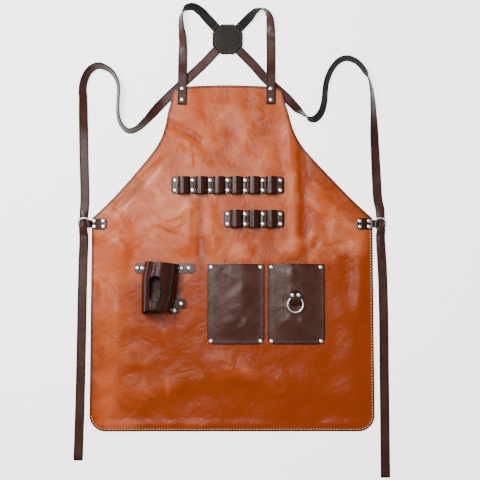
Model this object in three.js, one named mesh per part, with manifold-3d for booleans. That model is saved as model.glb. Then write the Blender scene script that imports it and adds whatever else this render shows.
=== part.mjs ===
// A bib apron of faux leather with crossed back straps, a hammer holster, two pockets and
// two rows of tool loops. It lies on its back, front up, with its straps spread around it.
// Units are millimetres. +X points to the right of someone looking down at its front, +Y
// points to its neck and +Z points up. The origin is on the surface that it lies on, in
// the middle of the room that it takes up.

import * as THREE from 'three';
import { mergeVertices } from 'three/addons/utils/BufferGeometryUtils.js';
import Module from 'manifold-3d';

const wasm = await Module();
wasm.setup();

// Sizes of the leather

const APRON_LENGTH = 740;
const SKIRT_WIDTH = 600;
const BIB_WIDTH = 236;
const BIB_SHIFT = 10;
const BIB_CORNER_RADIUS = 14;
const HEM_CORNER_RADIUS = 34;
const ARMHOLE_LENGTH = 290;
const NECK_ARCH = 5;
const PANEL_THICKNESS = 1.8;
const TRIM_THICKNESS = 1.6;
const STRAP_WIDTH = 20;
const STRAP_THICKNESS = 2;
const FOLD_HEIGHT = 7;
const GAP = 0.3;

// Sizes of the metal

const RIVET_CAP_DIAMETER = 9.4;
const RIVET_CAP_HEIGHT = 2;
const RIVET_POST_DIAMETER = 3;
const RIVET_BACK_DIAMETER = 7.6;
const RIVET_BACK_HEIGHT = 1.2;
const RIVET_SIDES = 6;
const RIVET_HOLE_SIDES = 4;
const WAIST_RING_INNER_DIAMETER = 22;
const WAIST_RING_WIRE = 3;
const WAIST_RING_TILT = 20;
const WAIST_RING_OFF_EDGE = 1.4;
const POCKET_RING_INNER_DIAMETER = 28.8;
const POCKET_RING_WIRE = 3.5;

// Sizes of the fittings

const PATCH_WIDTH = 66;
const PATCH_THICKNESS = 2;
const PATCH_ABOVE_NECK = 101;
const LOOP_PITCH = 37.6;
const LOOP_HEIGHT = 11;
const LOOP_FLAT = 14;
const TOOL_STRIP_DEPTH = 37.5;
const TOOL_STRIP_MARGIN = 8;
const TOOL_STRIP_RIVET_SPAN = 21.4;
const UPPER_STRIP_LOOPS = 6;
const LOWER_STRIP_LOOPS = 3;
const UPPER_STRIP_ABOVE_HEM = 521;
const LOWER_STRIP_ABOVE_HEM = 448.5;
const TOOL_STRIP_CENTRE = -9.5;
const POCKET_WIDTH = 121;
const POCKET_LENGTH = 170;
const POCKET_DEPTH = 9;
const POCKET_RIM = 15;
const POCKET_CORNER_RADIUS = 16;
const POCKET_SPACING = 7;
const POCKET_ABOVE_HEM = 267;
const POCKETS_CENTRE = 72;
const POCKET_RIVET_INSET = 8;
const HOLSTER_WIDTH = 73;
const HOLSTER_LENGTH = 111;
const HOLSTER_HEIGHT = 46;
const HOLSTER_THICKNESS = 2.4;
const HOLSTER_CENTRE = -154;
const HOLSTER_ABOVE_HEM = 301;
const HOLSTER_SLOT_WIDTH = 23;
const HOLSTER_SLOT_LENGTH = 55;
const HOLSTER_TAB_DEPTH = 21;
const WAIST_TAB_DEPTH = 24;
const WAIST_TAB_BELOW_ARMHOLE = 12;
const WAIST_TAB_RIVET_SPAN = 19.6;
const WAIST_TAB_RIVET_ROWS = 12;
const WAIST_TAB_MARGIN = 7.5;
const WAIST_LOOP_DEPTH = 16;
const KEEPER_WIDTH = 22.5;
const KEEPER_LENGTH = 28;
const KEEPER_RIVET_SPAN = 13;

// Heights of the layers

const FLOOR = 0;
const panelSeat = RIVET_BACK_HEIGHT + GAP;
const trimSeat = panelSeat + PANEL_THICKNESS + GAP;
const bibSeat = STRAP_THICKNESS + GAP + panelSeat;
const bibStrapSeat = bibSeat + PANEL_THICKNESS + GAP;
const tabPanelSeat = panelSeat + TRIM_THICKNESS + GAP;
const patchSeat = PATCH_THICKNESS + GAP;
const frontPatchSeat = patchSeat + STRAP_THICKNESS + GAP;

const waistTabLevel = APRON_LENGTH - ARMHOLE_LENGTH - WAIST_TAB_BELOW_ARMHOLE;
const skirtHalf = SKIRT_WIDTH / 2;
const bibHalf = BIB_WIDTH / 2;
const patchCentre = new THREE.Vector2(-BIB_SHIFT, APRON_LENGTH + PATCH_ABOVE_NECK);

// Materials

const leather = (color, roughness) =>
  new THREE.MeshStandardMaterial({ color, roughness, metalness: 0 });
const PANEL_LEATHER = () => leather(0xa8502a, 0.4);
const DARK_LEATHER = () => leather(0x3a2320, 0.45);
const STRAP_LEATHER = () => leather(0x554641, 0.5);
const PATCH_LEATHER = () => leather(0x3a372f, 0.55);
const NICKEL = () => new THREE.MeshStandardMaterial({ color: 0xd9d6cf, roughness: 0.2, metalness: 1 });

const apron = new THREE.Group();

const add = (name, geometry, material) => {
  const mesh = new THREE.Mesh(geometry, material);
  mesh.name = name;
  apron.add(mesh);
};

// Closed bodies

// Merges the shared corners, drops the triangles that have no area and turns the faces out.
const closed = (geometry) => {
  let bare = geometry.clone();
  bare.deleteAttribute('normal');
  bare.deleteAttribute('uv');
  bare = mergeVertices(bare, 1e-4);
  const place = bare.getAttribute('position');
  const corner = (i) => new THREE.Vector3().fromBufferAttribute(place, i);
  const kept = [];
  let volume = 0;
  for (let i = 0; i < bare.index.count; i += 3) {
    const [a, b, c] = [0, 1, 2].map((k) => bare.index.getX(i + k));
    if (a !== b && b !== c && c !== a) {
      kept.push([a, b, c]);
      volume += corner(a).dot(corner(b).cross(corner(c)));
    }
  }
  bare.setIndex(kept.flatMap(([a, b, c]) => (volume > 0 ? [a, b, c] : [a, c, b])));
  return bare;
};

const solidOf = (geometry) => {
  const body = closed(geometry);
  return new wasm.Manifold(new wasm.Mesh({
    numProp: 3,
    vertProperties: new Float32Array(body.getAttribute('position').array),
    triVerts: new Uint32Array(body.index.array),
  }));
};

const geometryOf = (solid) => {
  const mesh = solid.getMesh();
  const geometry = new THREE.BufferGeometry();
  geometry.setAttribute('position', new THREE.Float32BufferAttribute(mesh.vertProperties, 3));
  geometry.setIndex([...mesh.triVerts]);
  return closed(geometry);
};

const cutBy = (geometry, cutters) =>
  geometryOf(cutters.reduce((solid, cutter) => solid.subtract(solidOf(cutter)), solidOf(geometry)));

const joinedTo = (geometry, others) =>
  geometryOf(others.reduce((solid, other) => solid.add(solidOf(other)), solidOf(geometry)));

const overlapOf = (geometry, other) => geometryOf(solidOf(geometry).intersect(solidOf(other)));

// A closed skin through rings of corners, each with as many corners as the next.
const loft = (rings) => {
  const size = rings[0].length;
  const far = (rings.length - 1) * size;
  const faces = [];
  for (let start = 0; start < far; start += size) {
    for (let k = 0; k < size; k += 1) {
      const [a, b] = [start + k, start + ((k + 1) % size)];
      faces.push(a, b, b + size, a, b + size, a + size);
    }
  }
  for (let k = 0; k < size / 2 - 1; k += 1) {
    const [a, b, c, d] = [k, k + 1, size - 2 - k, size - 1 - k];
    faces.push(a, c, b, a, d, c, far + a, far + b, far + c, far + a, far + c, far + d);
  }
  const geometry = new THREE.BufferGeometry().setFromPoints(rings.flat());
  geometry.setIndex(faces);
  return closed(geometry);
};

// A sheet between two surfaces over the same grid, with a wall around its edge.
const sheet = (across, along, under, over) => {
  const rings = along.map((v) => [
    ...across.map((u) => under(u, v)),
    ...[...across].reverse().map((u) => over(u, v)),
  ]);
  return loft(rings);
};

// A band of even thickness around a line in a plane.
const bandShape = (line, thickness) => {
  const normals = line.map((point, i) => {
    const before = line[Math.max(i - 1, 0)];
    const after = line[Math.min(i + 1, line.length - 1)];
    const ahead = after.clone().sub(point).normalize();
    const behind = point.clone().sub(before).normalize();
    const along = ahead.add(behind).normalize();
    const step = (i > 0 ? point.clone().sub(before) : after.clone().sub(point)).normalize();
    return new THREE.Vector2(-along.y, along.x).multiplyScalar(thickness / 2 / along.dot(step));
  });
  const upper = line.map((point, i) => point.clone().add(normals[i]));
  const lower = line.map((point, i) => point.clone().sub(normals[i]));
  return new THREE.Shape([...upper, ...lower.reverse()]);
};

// A shape in X and Z, carried along Y between two places.
const standing = (shape, from, to, steps = 1) => {
  const body = new THREE.ExtrudeGeometry(shape, { depth: to - from, steps, bevelEnabled: false });
  return body.rotateX(Math.PI / 2).translate(0, to, 0);
};

// A shape in X and Y, between two heights.
const lying = (shape, bottom, top, curveSegments = 4) => {
  const body = new THREE.ExtrudeGeometry(shape, { depth: top - bottom, bevelEnabled: false, curveSegments });
  return body.translate(0, 0, bottom);
};

const roundedBox = (left, right, low, high, radius) => {
  const shape = new THREE.Shape();
  shape.moveTo(left + radius, low);
  shape.lineTo(right - radius, low);
  shape.absarc(right - radius, low + radius, radius, -Math.PI / 2, 0);
  shape.lineTo(right, high - radius);
  shape.absarc(right - radius, high - radius, radius, 0, Math.PI / 2);
  shape.lineTo(left + radius, high);
  shape.absarc(left + radius, high - radius, radius, Math.PI / 2, Math.PI);
  shape.lineTo(left, low + radius);
  shape.absarc(left + radius, low + radius, radius, Math.PI, Math.PI * 1.5);
  return shape;
};

const smooth = (t) => {
  const s = Math.min(Math.max(t, 0), 1);
  return s * s * (3 - 2 * s);
};

const spread = (from, to, count) =>
  Array.from({ length: count + 1 }, (_, i) => from + ((to - from) * i) / count);

// Rivets

// Each has a cap over the top layer, a post through all layers and a back cap under them.
const rivetBody = (x, y, back, cap) => {
  const [post, rim] = [RIVET_POST_DIAMETER / 2, RIVET_CAP_DIAMETER / 2];
  const profile = [
    [0, back],
    [RIVET_BACK_DIAMETER / 2, back],
    [post, back + RIVET_BACK_HEIGHT],
    [post, cap],
    [rim, cap],
    [rim * 0.7, cap + RIVET_CAP_HEIGHT],
    [0, cap + RIVET_CAP_HEIGHT],
  ].map(([radius, height]) => new THREE.Vector2(radius, height));
  return new THREE.LatheGeometry(profile, RIVET_SIDES).rotateX(Math.PI / 2).translate(x, y, 0);
};

const rivetHole = (rivet) => {
  const radius = (RIVET_POST_DIAMETER / 2 + GAP) / Math.cos(Math.PI / RIVET_HOLE_SIDES);
  const height = HOLSTER_HEIGHT * 3;
  const hole = new THREE.CylinderGeometry(radius, radius, height, RIVET_HOLE_SIDES);
  return hole.rotateX(Math.PI / 2).translate(rivet.x, rivet.y, 0);
};

const stripRivets = (loops, centre, level) =>
  spread(-loops / 2, loops / 2, loops).flatMap((column) =>
    [-1, 1].map((row) => ({
      x: centre + column * LOOP_PITCH,
      y: level + (row * TOOL_STRIP_RIVET_SPAN) / 2,
    })));

// Where the fittings sit

const lowerStripCentre = TOOL_STRIP_CENTRE + ((UPPER_STRIP_LOOPS - LOWER_STRIP_LOOPS) / 2) * LOOP_PITCH;
const upperStripRivets = stripRivets(UPPER_STRIP_LOOPS, TOOL_STRIP_CENTRE, UPPER_STRIP_ABOVE_HEM);
const lowerStripRivets = stripRivets(LOWER_STRIP_LOOPS, lowerStripCentre, LOWER_STRIP_ABOVE_HEM);
const stripHalf = (loops) => (loops * LOOP_PITCH) / 2 + TOOL_STRIP_MARGIN;

const pocketCentres = {
  left: POCKETS_CENTRE - (POCKET_WIDTH + POCKET_SPACING) / 2,
  right: POCKETS_CENTRE + (POCKET_WIDTH + POCKET_SPACING) / 2,
};
const pocketRivets = (centre) =>
  [-1, 1].flatMap((side) =>
    [-1, 1].map((end) => ({
      x: centre + side * (POCKET_WIDTH / 2 - POCKET_RIVET_INSET),
      y: POCKET_ABOVE_HEM + end * (POCKET_LENGTH / 2 - POCKET_RIVET_INSET * 0.85),
    })));

// The tabs' first rivets lie this far inside the panel's side edges.
const waistTabInsets = { left: 5.4, right: 8 };
const waistTabRivets = (side, inset) =>
  [inset, inset + WAIST_TAB_RIVET_SPAN].flatMap((depth) =>
    [-1, 1].map((row) => ({
      x: side * (skirtHalf - depth),
      y: waistTabLevel + (row * WAIST_TAB_RIVET_ROWS) / 2,
    })));

const waistRingRadius = (WAIST_RING_INNER_DIAMETER + WAIST_RING_WIRE) / 2;
const waistRingCentre = skirtHalf + WAIST_RING_OFF_EDGE + WAIST_RING_INNER_DIAMETER / 2 + WAIST_RING_WIRE;
const tilt = THREE.MathUtils.degToRad(WAIST_RING_TILT);
const waistRingHeight = WAIST_RING_WIRE / 2 + GAP + waistRingRadius * Math.sin(tilt) + GAP * 5;

// Holster

// The section across the holster, seen from its foot end, as shares of its width and height.
const HOLSTER_SECTION = [
  { across: -0.43, rise: 0 },
  { across: -0.43, rise: 0.06 },
  { across: -0.46, rise: 0.15 },
  { across: -0.5, rise: 0.33 },
  { across: -0.47, rise: 0.6 },
  { across: -0.36, rise: 0.84 },
  { across: -0.2, rise: 0.97 },
  { across: -0.05, rise: 1 },
  { across: 0.12, rise: 0.96 },
  { across: 0.28, rise: 0.83 },
  { across: 0.41, rise: 0.6 },
  { across: 0.48, rise: 0.33 },
  { across: 0.49, rise: 0 },
];

// Tabs beside the feet, as shares of the width across and of the length along.
const HOLSTER_TABS = [
  { inner: -0.35, outer: -0.73, middle: 0.38, depth: 1 },
  { inner: 0.46, outer: 1.03, middle: 0.38, depth: 1 },
  { inner: 0.36, outer: 0.78, middle: -0.3, depth: 0.95 },
  { inner: 0.34, outer: 0.53, middle: -0.43, depth: 0.65 },
];

const HOLSTER_RIVETS = [
  { name: 'rivet_holster_left_outer', across: -0.65, along: 0.38 },
  { name: 'rivet_holster_left_inner', across: -0.512, along: 0.38 },
  { name: 'rivet_holster_right_inner', across: 0.63, along: 0.38 },
  { name: 'rivet_holster_right_outer', across: 0.85, along: 0.38 },
  { name: 'rivet_holster_lower_tab', across: 0.63, along: -0.3 },
  { name: 'rivet_holster_foot', across: 0.44, along: -0.43 },
];

const HOLSTER_TAPER = 11;
const HOLSTER_RIM_RISE = 7;
const HOLSTER_RIM_SLANT = 6;
const HOLSTER_LEAN = 6;
const HOLSTER_SLOT_AT = { across: -0.09, along: -0.03 };

const holsterRivets = HOLSTER_RIVETS.map(({ name, across, along }) => ({
  name,
  x: HOLSTER_CENTRE + across * HOLSTER_WIDTH,
  y: HOLSTER_ABOVE_HEM + along * HOLSTER_LENGTH,
}));

const holsterShell = () => {
  const line = HOLSTER_SECTION.map(({ across, rise }) => new THREE.Vector2(
    HOLSTER_CENTRE + across * (HOLSTER_WIDTH - HOLSTER_THICKNESS),
    trimSeat + rise * (HOLSTER_HEIGHT - HOLSTER_THICKNESS / 2),
  ));
  const low = HOLSTER_ABOVE_HEM - HOLSTER_LENGTH / 2;
  const shell = closed(standing(bandShape(line, HOLSTER_THICKNESS), low, low + HOLSTER_LENGTH, 3));
  const place = shell.getAttribute('position');
  for (let i = 0; i < place.count; i += 1) {
    const [x, y, z] = [place.getX(i), place.getY(i), place.getZ(i)];
    const across = (x - HOLSTER_CENTRE) / HOLSTER_WIDTH + 0.5;
    const along = (y - low) / HOLSTER_LENGTH;
    const rise = (z - trimSeat) / HOLSTER_HEIGHT;
    const rim = HOLSTER_RIM_RISE * rise * (1 - along) - HOLSTER_RIM_SLANT * across * along;
    const lean = across * smooth(along / 0.35) + (1 - across) * smooth((along - 0.65) / 0.35);
    place.setXY(i, x + HOLSTER_LEAN * lean - HOLSTER_TAPER * across * (1 - along), y + rim);
  }
  return shell;
};

const holsterSlot = () => {
  const [half, reach] = [HOLSTER_SLOT_WIDTH / 2, HOLSTER_SLOT_LENGTH / 2];
  const slot = new THREE.Shape();
  slot.moveTo(-half, -reach + half);
  slot.quadraticCurveTo(-half * 0.6, -reach + half * 0.2, 0, -reach);
  slot.quadraticCurveTo(half * 0.6, -reach + half * 0.2, half, -reach + half);
  slot.lineTo(half, reach - half);
  slot.absarc(0, reach - half, half, 0, Math.PI);
  const x = HOLSTER_CENTRE + HOLSTER_SLOT_AT.across * HOLSTER_WIDTH;
  const y = HOLSTER_ABOVE_HEM + HOLSTER_SLOT_AT.along * HOLSTER_LENGTH;
  return lying(slot, trimSeat + HOLSTER_HEIGHT / 2, HOLSTER_HEIGHT * 2, 5).translate(x, y, 0);
};

const holsterTabs = HOLSTER_TABS.map(({ inner, outer, middle, depth }) => {
  const ends = [inner, outer].map((share) => HOLSTER_CENTRE + share * HOLSTER_WIDTH);
  const y = HOLSTER_ABOVE_HEM + middle * HOLSTER_LENGTH;
  const half = (depth * HOLSTER_TAB_DEPTH) / 2;
  const radius = Math.min(half, Math.abs(ends[0] - ends[1]) / 2) * 0.5;
  return { left: Math.min(...ends), right: Math.max(...ends), low: y - half, high: y + half, radius };
});

const holster = () => {
  const tabs = holsterTabs.map(({ left, right, low, high, radius }) =>
    lying(roundedBox(left, right, low, high, radius), trimSeat, trimSeat + HOLSTER_THICKNESS, 3));
  const whole = joinedTo(cutBy(holsterShell(), [holsterSlot()]), tabs);
  return cutBy(whole, holsterRivets.map(rivetHole));
};

// Straps

// Each row is a place on a strap's middle line. Across is a share of half the skirt's
// width and along a share of the apron's length. Turn is how far the strap has rolled over,
// in degrees, with 0 for its front up, 90 for its edge and 180 for its back up.
const LEFT_SHOULDER_ROUTE = [
  { across: -0.361, along: 0.941, seat: bibStrapSeat, turn: 0 },
  { across: -0.359, along: 0.998, seat: bibStrapSeat, turn: 0 },
  { across: -0.358, along: 1.031, seat: bibStrapSeat, turn: 0 },
  { across: -0.358, along: 1.074, seat: FLOOR, turn: 0 },
  { across: -0.357, along: 1.134, seat: FLOOR, turn: 30 },
  { across: -0.368, along: 1.171, seat: FLOOR, turn: 52 },
  { across: -0.371, along: 1.197, seat: FLOOR, turn: 62 },
  { across: -0.365, along: 1.211, seat: FLOOR, turn: 72 },
  { across: -0.353, along: 1.221, seat: FLOOR, turn: 90 },
  { across: -0.327, along: 1.230, seat: FLOOR, turn: 115 },
  { across: -0.284, along: 1.232, seat: FLOOR, turn: 128 },
  { across: -0.237, along: 1.222, seat: FLOOR, turn: 145 },
  { across: -0.180, along: 1.199, seat: FLOOR, turn: 172 },
];

const RIGHT_SHOULDER_ROUTE = [
  { across: 0.277, along: 0.942, seat: bibStrapSeat, turn: 0 },
  { across: 0.279, along: 0.998, seat: bibStrapSeat, turn: 0 },
  { across: 0.279, along: 1.031, seat: bibStrapSeat, turn: 0 },
  { across: 0.281, along: 1.074, seat: FLOOR, turn: 0 },
  { across: 0.279, along: 1.143, seat: FLOOR, turn: 5 },
  { across: 0.274, along: 1.191, seat: FLOOR, turn: 35 },
  { across: 0.261, along: 1.209, seat: FLOOR, turn: 62 },
  { across: 0.237, along: 1.222, seat: FLOOR, turn: 90 },
  { across: 0.204, along: 1.226, seat: FLOOR, turn: 118 },
  { across: 0.164, along: 1.219, seat: FLOOR, turn: 140 },
  { across: 0.117, along: 1.199, seat: FLOOR, turn: 168 },
];

const LEFT_WAIST_ROUTE_TO_RING = [
  { across: -0.204, along: 1.065, seat: FLOOR, turn: 0 },
  { across: -0.330, along: 1.016, seat: FLOOR, turn: 0 },
  { across: -0.484, along: 0.956, seat: FLOOR, turn: 0 },
  { across: -0.548, along: 0.927, seat: FLOOR, turn: 20 },
  { across: -0.614, along: 0.895, seat: FLOOR, turn: 55 },
  { across: -0.688, along: 0.868, seat: FLOOR, turn: 90 },
  { across: -0.745, along: 0.863, seat: FLOOR, turn: 90 },
  { across: -0.795, along: 0.882, seat: FLOOR, turn: 90 },
  { across: -0.818, along: 0.912, seat: FLOOR, turn: 90 },
  { across: -0.819, along: 0.953, seat: FLOOR, turn: 90 },
  { across: -0.816, along: 0.983, seat: FLOOR, turn: 90 },
  { across: -0.827, along: 1.012, seat: FLOOR, turn: 95 },
  { across: -0.878, along: 1.042, seat: FLOOR, turn: 110 },
  { across: -0.965, along: 1.056, seat: FLOOR, turn: 126 },
  { across: -1.030, along: 1.041, seat: FLOOR, turn: 122 },
  { across: -1.065, along: 1.013, seat: FLOOR, turn: 100 },
  { across: -1.075, along: 0.989, seat: FLOOR, turn: 65 },
  { across: -1.072, along: 0.960, seat: FLOOR, turn: 25 },
  { across: -1.070, along: 0.920, seat: FLOOR, turn: 0 },
  { across: -1.064, along: 0.808, seat: FLOOR, turn: 0 },
  { across: -1.052, along: 0.662, seat: FLOOR, turn: 0 },
];

const LEFT_WAIST_ROUTE_FROM_RING = [
  { across: -1.059, along: 0.482, seat: FLOOR, turn: 0 },
  { across: -1.062, along: 0.402, seat: FLOOR, turn: 0 },
  { across: -1.064, along: 0.259, seat: FLOOR, turn: 0 },
  { across: -1.068, along: 0.089, seat: FLOOR, turn: 0 },
  { across: -1.076, along: -0.082, seat: FLOOR, turn: 0 },
];

const RIGHT_WAIST_ROUTE_TO_RING = [
  { across: 0.150, along: 1.062, seat: FLOOR, turn: 0 },
  { across: 0.245, along: 1.018, seat: FLOOR, turn: 0 },
  { across: 0.394, along: 0.962, seat: FLOOR, turn: 0 },
  { across: 0.458, along: 0.933, seat: FLOOR, turn: 20 },
  { across: 0.515, along: 0.911, seat: FLOOR, turn: 60 },
  { across: 0.561, along: 0.897, seat: FLOOR, turn: 105 },
  { across: 0.600, along: 0.900, seat: FLOOR, turn: 122 },
  { across: 0.638, along: 0.918, seat: FLOOR, turn: 110 },
  { across: 0.660, along: 0.947, seat: FLOOR, turn: 98 },
  { across: 0.669, along: 0.983, seat: FLOOR, turn: 92 },
  { across: 0.681, along: 1.012, seat: FLOOR, turn: 90 },
  { across: 0.717, along: 1.046, seat: FLOOR, turn: 90 },
  { across: 0.768, along: 1.070, seat: FLOOR, turn: 90 },
  { across: 0.826, along: 1.078, seat: FLOOR, turn: 90 },
  { across: 0.897, along: 1.067, seat: FLOOR, turn: 90 },
  { across: 0.954, along: 1.040, seat: FLOOR, turn: 90 },
  { across: 0.986, along: 1.012, seat: FLOOR, turn: 75 },
  { across: 1.002, along: 0.981, seat: FLOOR, turn: 35 },
  { across: 1.012, along: 0.938, seat: FLOOR, turn: 0 },
  { across: 1.021, along: 0.838, seat: FLOOR, turn: 0 },
  { across: 1.033, along: 0.720, seat: FLOOR, turn: 0 },
  { across: 1.041, along: 0.662, seat: FLOOR, turn: 0 },
];

const RIGHT_WAIST_ROUTE_FROM_RING = [
  { across: 1.067, along: 0.459, seat: FLOOR, turn: 0 },
  { across: 1.072, along: 0.344, seat: FLOOR, turn: 0 },
  { across: 1.072, along: 0.174, seat: FLOOR, turn: 0 },
  { across: 1.072, along: 0.032, seat: FLOOR, turn: 0 },
  { across: 1.072, along: -0.130, seat: FLOOR, turn: 0 },
];

// Where a strap threads its ring, it is cupped to fit. Across and along are shares of the
// strap's width, from the ring's middle, rise one of the ring's radius, and cup an angle.
const RING_LANE = [
  { across: -0.05, along: 1.6, rise: 0, cup: 10 },
  { across: -0.1, along: 0.8, rise: 0, cup: 38 },
  { across: -0.15, along: 0.45, rise: 0, cup: 46 },
  { across: -0.15, along: 0.2, rise: 0.04, cup: 58 },
  { across: -0.15, along: 0, rise: 0.18, cup: 60 },
  { across: -0.155, along: -0.2, rise: 0.4, cup: 60 },
  { across: -0.155, along: -0.36, rise: 0.52, cup: 56 },
  { across: -0.12, along: -0.66, rise: 0.47, cup: 40 },
  { across: -0.06, along: -1.3, rise: 0.18, cup: 15 },
];

const onPanel = ({ across, along, seat, turn }) => ({
  place: new THREE.Vector2(across * skirtHalf, along * APRON_LENGTH),
  lift: seat,
  turn,
  cup: 0,
});

const throughRing = (side) => RING_LANE.map(({ across, along, rise, cup }) => ({
  place: new THREE.Vector2(
    side * (waistRingCentre - across * STRAP_WIDTH),
    waistTabLevel + along * STRAP_WIDTH,
  ),
  lift: rise * waistRingRadius,
  turn: 0,
  cup,
}));

// A strap leaves the patch along one of its diagonals, clear of the other three straps.
const outOfPatch = (sideways, upwards, turn) => [0.52, 1.7].map((distance) => ({
  place: new THREE.Vector2(sideways, upwards)
    .multiplyScalar(Math.SQRT1_2 * (distance * STRAP_WIDTH + GAP))
    .add(patchCentre),
  lift: patchSeat,
  turn,
  cup: 0,
}));

// The most that a strap bends and rolls, in degrees, and reaches, in widths, in one step.
const STRAP_STEP = { bend: 22, roll: 25, reach: 3.5 };

// Fills in the places between rows, more of them where the line bends or the strap rolls.
const stations = (rows) => {
  const curve = new THREE.CatmullRomCurve3(
    rows.map(({ place }) => new THREE.Vector3(place.x, place.y, 0)),
  );
  const heading = (t) => curve.getTangent(Math.min(Math.max(t, 0), 1));
  return rows.flatMap((row, i) => {
    if (i === rows.length - 1) {
      return [{ ...row, ahead: heading(1) }];
    }
    const next = rows[i + 1];
    const [start, end] = [i, i + 1].map((k) => heading(k / (rows.length - 1)));
    const steps = Math.ceil(Math.max(
      THREE.MathUtils.radToDeg(start.angleTo(end)) / STRAP_STEP.bend,
      Math.abs(next.turn - row.turn) / STRAP_STEP.roll,
      row.place.distanceTo(next.place) / (STRAP_STEP.reach * STRAP_WIDTH),
    ));
    return spread(0, 1, steps).slice(0, steps).map((share) => {
      const t = (i + share) / (rows.length - 1);
      const at = curve.getPoint(t);
      const mix = (key) => THREE.MathUtils.lerp(row[key], next[key], smooth(share));
      return {
        place: new THREE.Vector2(at.x, at.y),
        lift: mix('lift'),
        turn: mix('turn'),
        cup: mix('cup'),
        ahead: heading(t),
      };
    });
  });
};

// A strap's section: two halves that meet at the middle, tipped down by the cup angle.
const strapSection = ({ place, lift, turn, cup, ahead }) => {
  const [roll, tip] = [turn, cup].map(THREE.MathUtils.degToRad);
  const sideways = new THREE.Vector3(ahead.y, -ahead.x, 0).normalize();
  const upwards = new THREE.Vector3(0, 0, 1);
  const half = STRAP_WIDTH / 2;
  const flat = [
    [-half * Math.cos(tip), -half * Math.sin(tip), -Math.sin(tip), Math.cos(tip)],
    [0, 0, 0, 1 / Math.cos(tip)],
    [half * Math.cos(tip), -half * Math.sin(tip), Math.sin(tip), Math.cos(tip)],
  ];
  const corner = ([side, rise, outward, normal], face) => {
    const x = side + (face * outward * STRAP_THICKNESS) / 2;
    const z = rise + (face * normal * STRAP_THICKNESS) / 2;
    const across = x * Math.cos(roll) - z * Math.sin(roll);
    const above = x * Math.sin(roll) + z * Math.cos(roll);
    return sideways.clone().multiplyScalar(across).addScaledVector(upwards, above);
  };
  const ring = [
    ...flat.map((point) => corner(point, -1)),
    ...[...flat].reverse().map((point) => corner(point, 1)),
  ];
  const lowest = Math.min(...ring.map(({ z }) => z));
  return ring.map((point) => point.add(new THREE.Vector3(place.x, place.y, lift - lowest)));
};

const strap = (rows) => loft(stations(rows).map(strapSection));

const leftShoulderRows = [...LEFT_SHOULDER_ROUTE.map(onPanel), ...outOfPatch(-1, 1, 180).reverse()];
const rightShoulderRows = [...RIGHT_SHOULDER_ROUTE.map(onPanel), ...outOfPatch(1, 1, 180).reverse()];
const leftWaistRows = [
  ...outOfPatch(-1, -1, 0),
  ...LEFT_WAIST_ROUTE_TO_RING.map(onPanel),
  ...throughRing(-1),
  ...LEFT_WAIST_ROUTE_FROM_RING.map(onPanel),
];
const rightWaistRows = [
  ...outOfPatch(1, -1, 0),
  ...RIGHT_WAIST_ROUTE_TO_RING.map(onPanel),
  ...throughRing(1),
  ...RIGHT_WAIST_ROUTE_FROM_RING.map(onPanel),
];

// Two rivets hold each shoulder strap's end on the bib.
const strapEndRivets = (route) => [0.012, 0.045].map((depth) => ({
  x: route[0].across * skirtHalf,
  y: APRON_LENGTH * (1 - depth),
}));

// Panel

// Half the panel's width down the armhole. Down is a share of the armhole's length and out
// a share of the way from half the bib's width to half the skirt's.
const ARMHOLE = [
  { down: 0, out: 0 },
  { down: 0.148, out: 0.038 },
  { down: 0.191, out: 0.059 },
  { down: 0.304, out: 0.098 },
  { down: 0.38, out: 0.141 },
  { down: 0.455, out: 0.205 },
  { down: 0.53, out: 0.294 },
  { down: 0.604, out: 0.395 },
  { down: 0.679, out: 0.501 },
  { down: 0.791, out: 0.663 },
  { down: 0.866, out: 0.776 },
  { down: 0.94, out: 0.896 },
  { down: 1, out: 1 },
];

// Soft ridges of the lying panel. Across is a share of half the skirt's width, along and
// length are shares of the apron's length, and height is one of the fold height. The angle
// is turned from +X, in degrees.
const FOLDS = [
  { across: -0.37, along: 0.84, angle: -34, length: 0.1, width: 0.022, height: 0.6 },
  { across: -0.29, along: 0.78, angle: 97, length: 0.08, width: 0.02, height: 0.5 },
  { across: 0.42, along: 0.75, angle: 92, length: 0.25, width: 0.024, height: 0.8 },
  { across: -0.78, along: 0.54, angle: -62, length: 0.16, width: 0.034, height: 0.8 },
  { across: -0.31, along: 0.58, angle: 88, length: 0.18, width: 0.026, height: 0.6 },
  { across: -0.14, along: 0.58, angle: 94, length: 0.16, width: 0.024, height: 0.4 },
  { across: 0.5, along: 0.53, angle: 40, length: 0.09, width: 0.024, height: 0.5 },
  { across: 0.74, along: 0.6, angle: -44, length: 0.14, width: 0.03, height: 0.6 },
  { across: 0.9, along: 0.47, angle: 90, length: 0.19, width: 0.028, height: 0.6 },
  { across: -0.84, along: 0.27, angle: 86, length: 0.34, width: 0.045, height: 0.6 },
  { across: 0.85, along: 0.2, angle: 96, length: 0.22, width: 0.04, height: 0.5 },
  { across: -0.3, along: 0.14, angle: 12, length: 0.26, width: 0.036, height: 0.5 },
  { across: 0.45, along: 0.13, angle: -10, length: 0.24, width: 0.036, height: 0.45 },
  { across: -0.45, along: 0.032, angle: 0, length: 0.3, width: 0.018, height: 0.5 },
  { across: 0.1, along: 0.032, angle: 0, length: 0.14, width: 0.018, height: 0.35 },
  { across: 0.8, along: 0.032, angle: 0, length: 0.1, width: 0.018, height: 0.5 },
];

// The panel is held flat under what is fastened to it, at the height of its back caps.
const around = (points, margin, level) => ({
  left: Math.min(...points.map(({ x }) => x)) - margin,
  right: Math.max(...points.map(({ x }) => x)) + margin,
  low: Math.min(...points.map(({ y }) => y)) - margin,
  high: Math.max(...points.map(({ y }) => y)) + margin,
  level,
});

const bibCornerSeat = (side, rivets) => ({
  left: side < 0 ? -bibHalf * 1.3 : rivets[0].x - STRAP_WIDTH * 0.7,
  right: side < 0 ? rivets[0].x + STRAP_WIDTH * 0.7 : bibHalf * 1.3,
  low: APRON_LENGTH * 0.92,
  high: APRON_LENGTH * 1.1,
  level: bibSeat,
});

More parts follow.
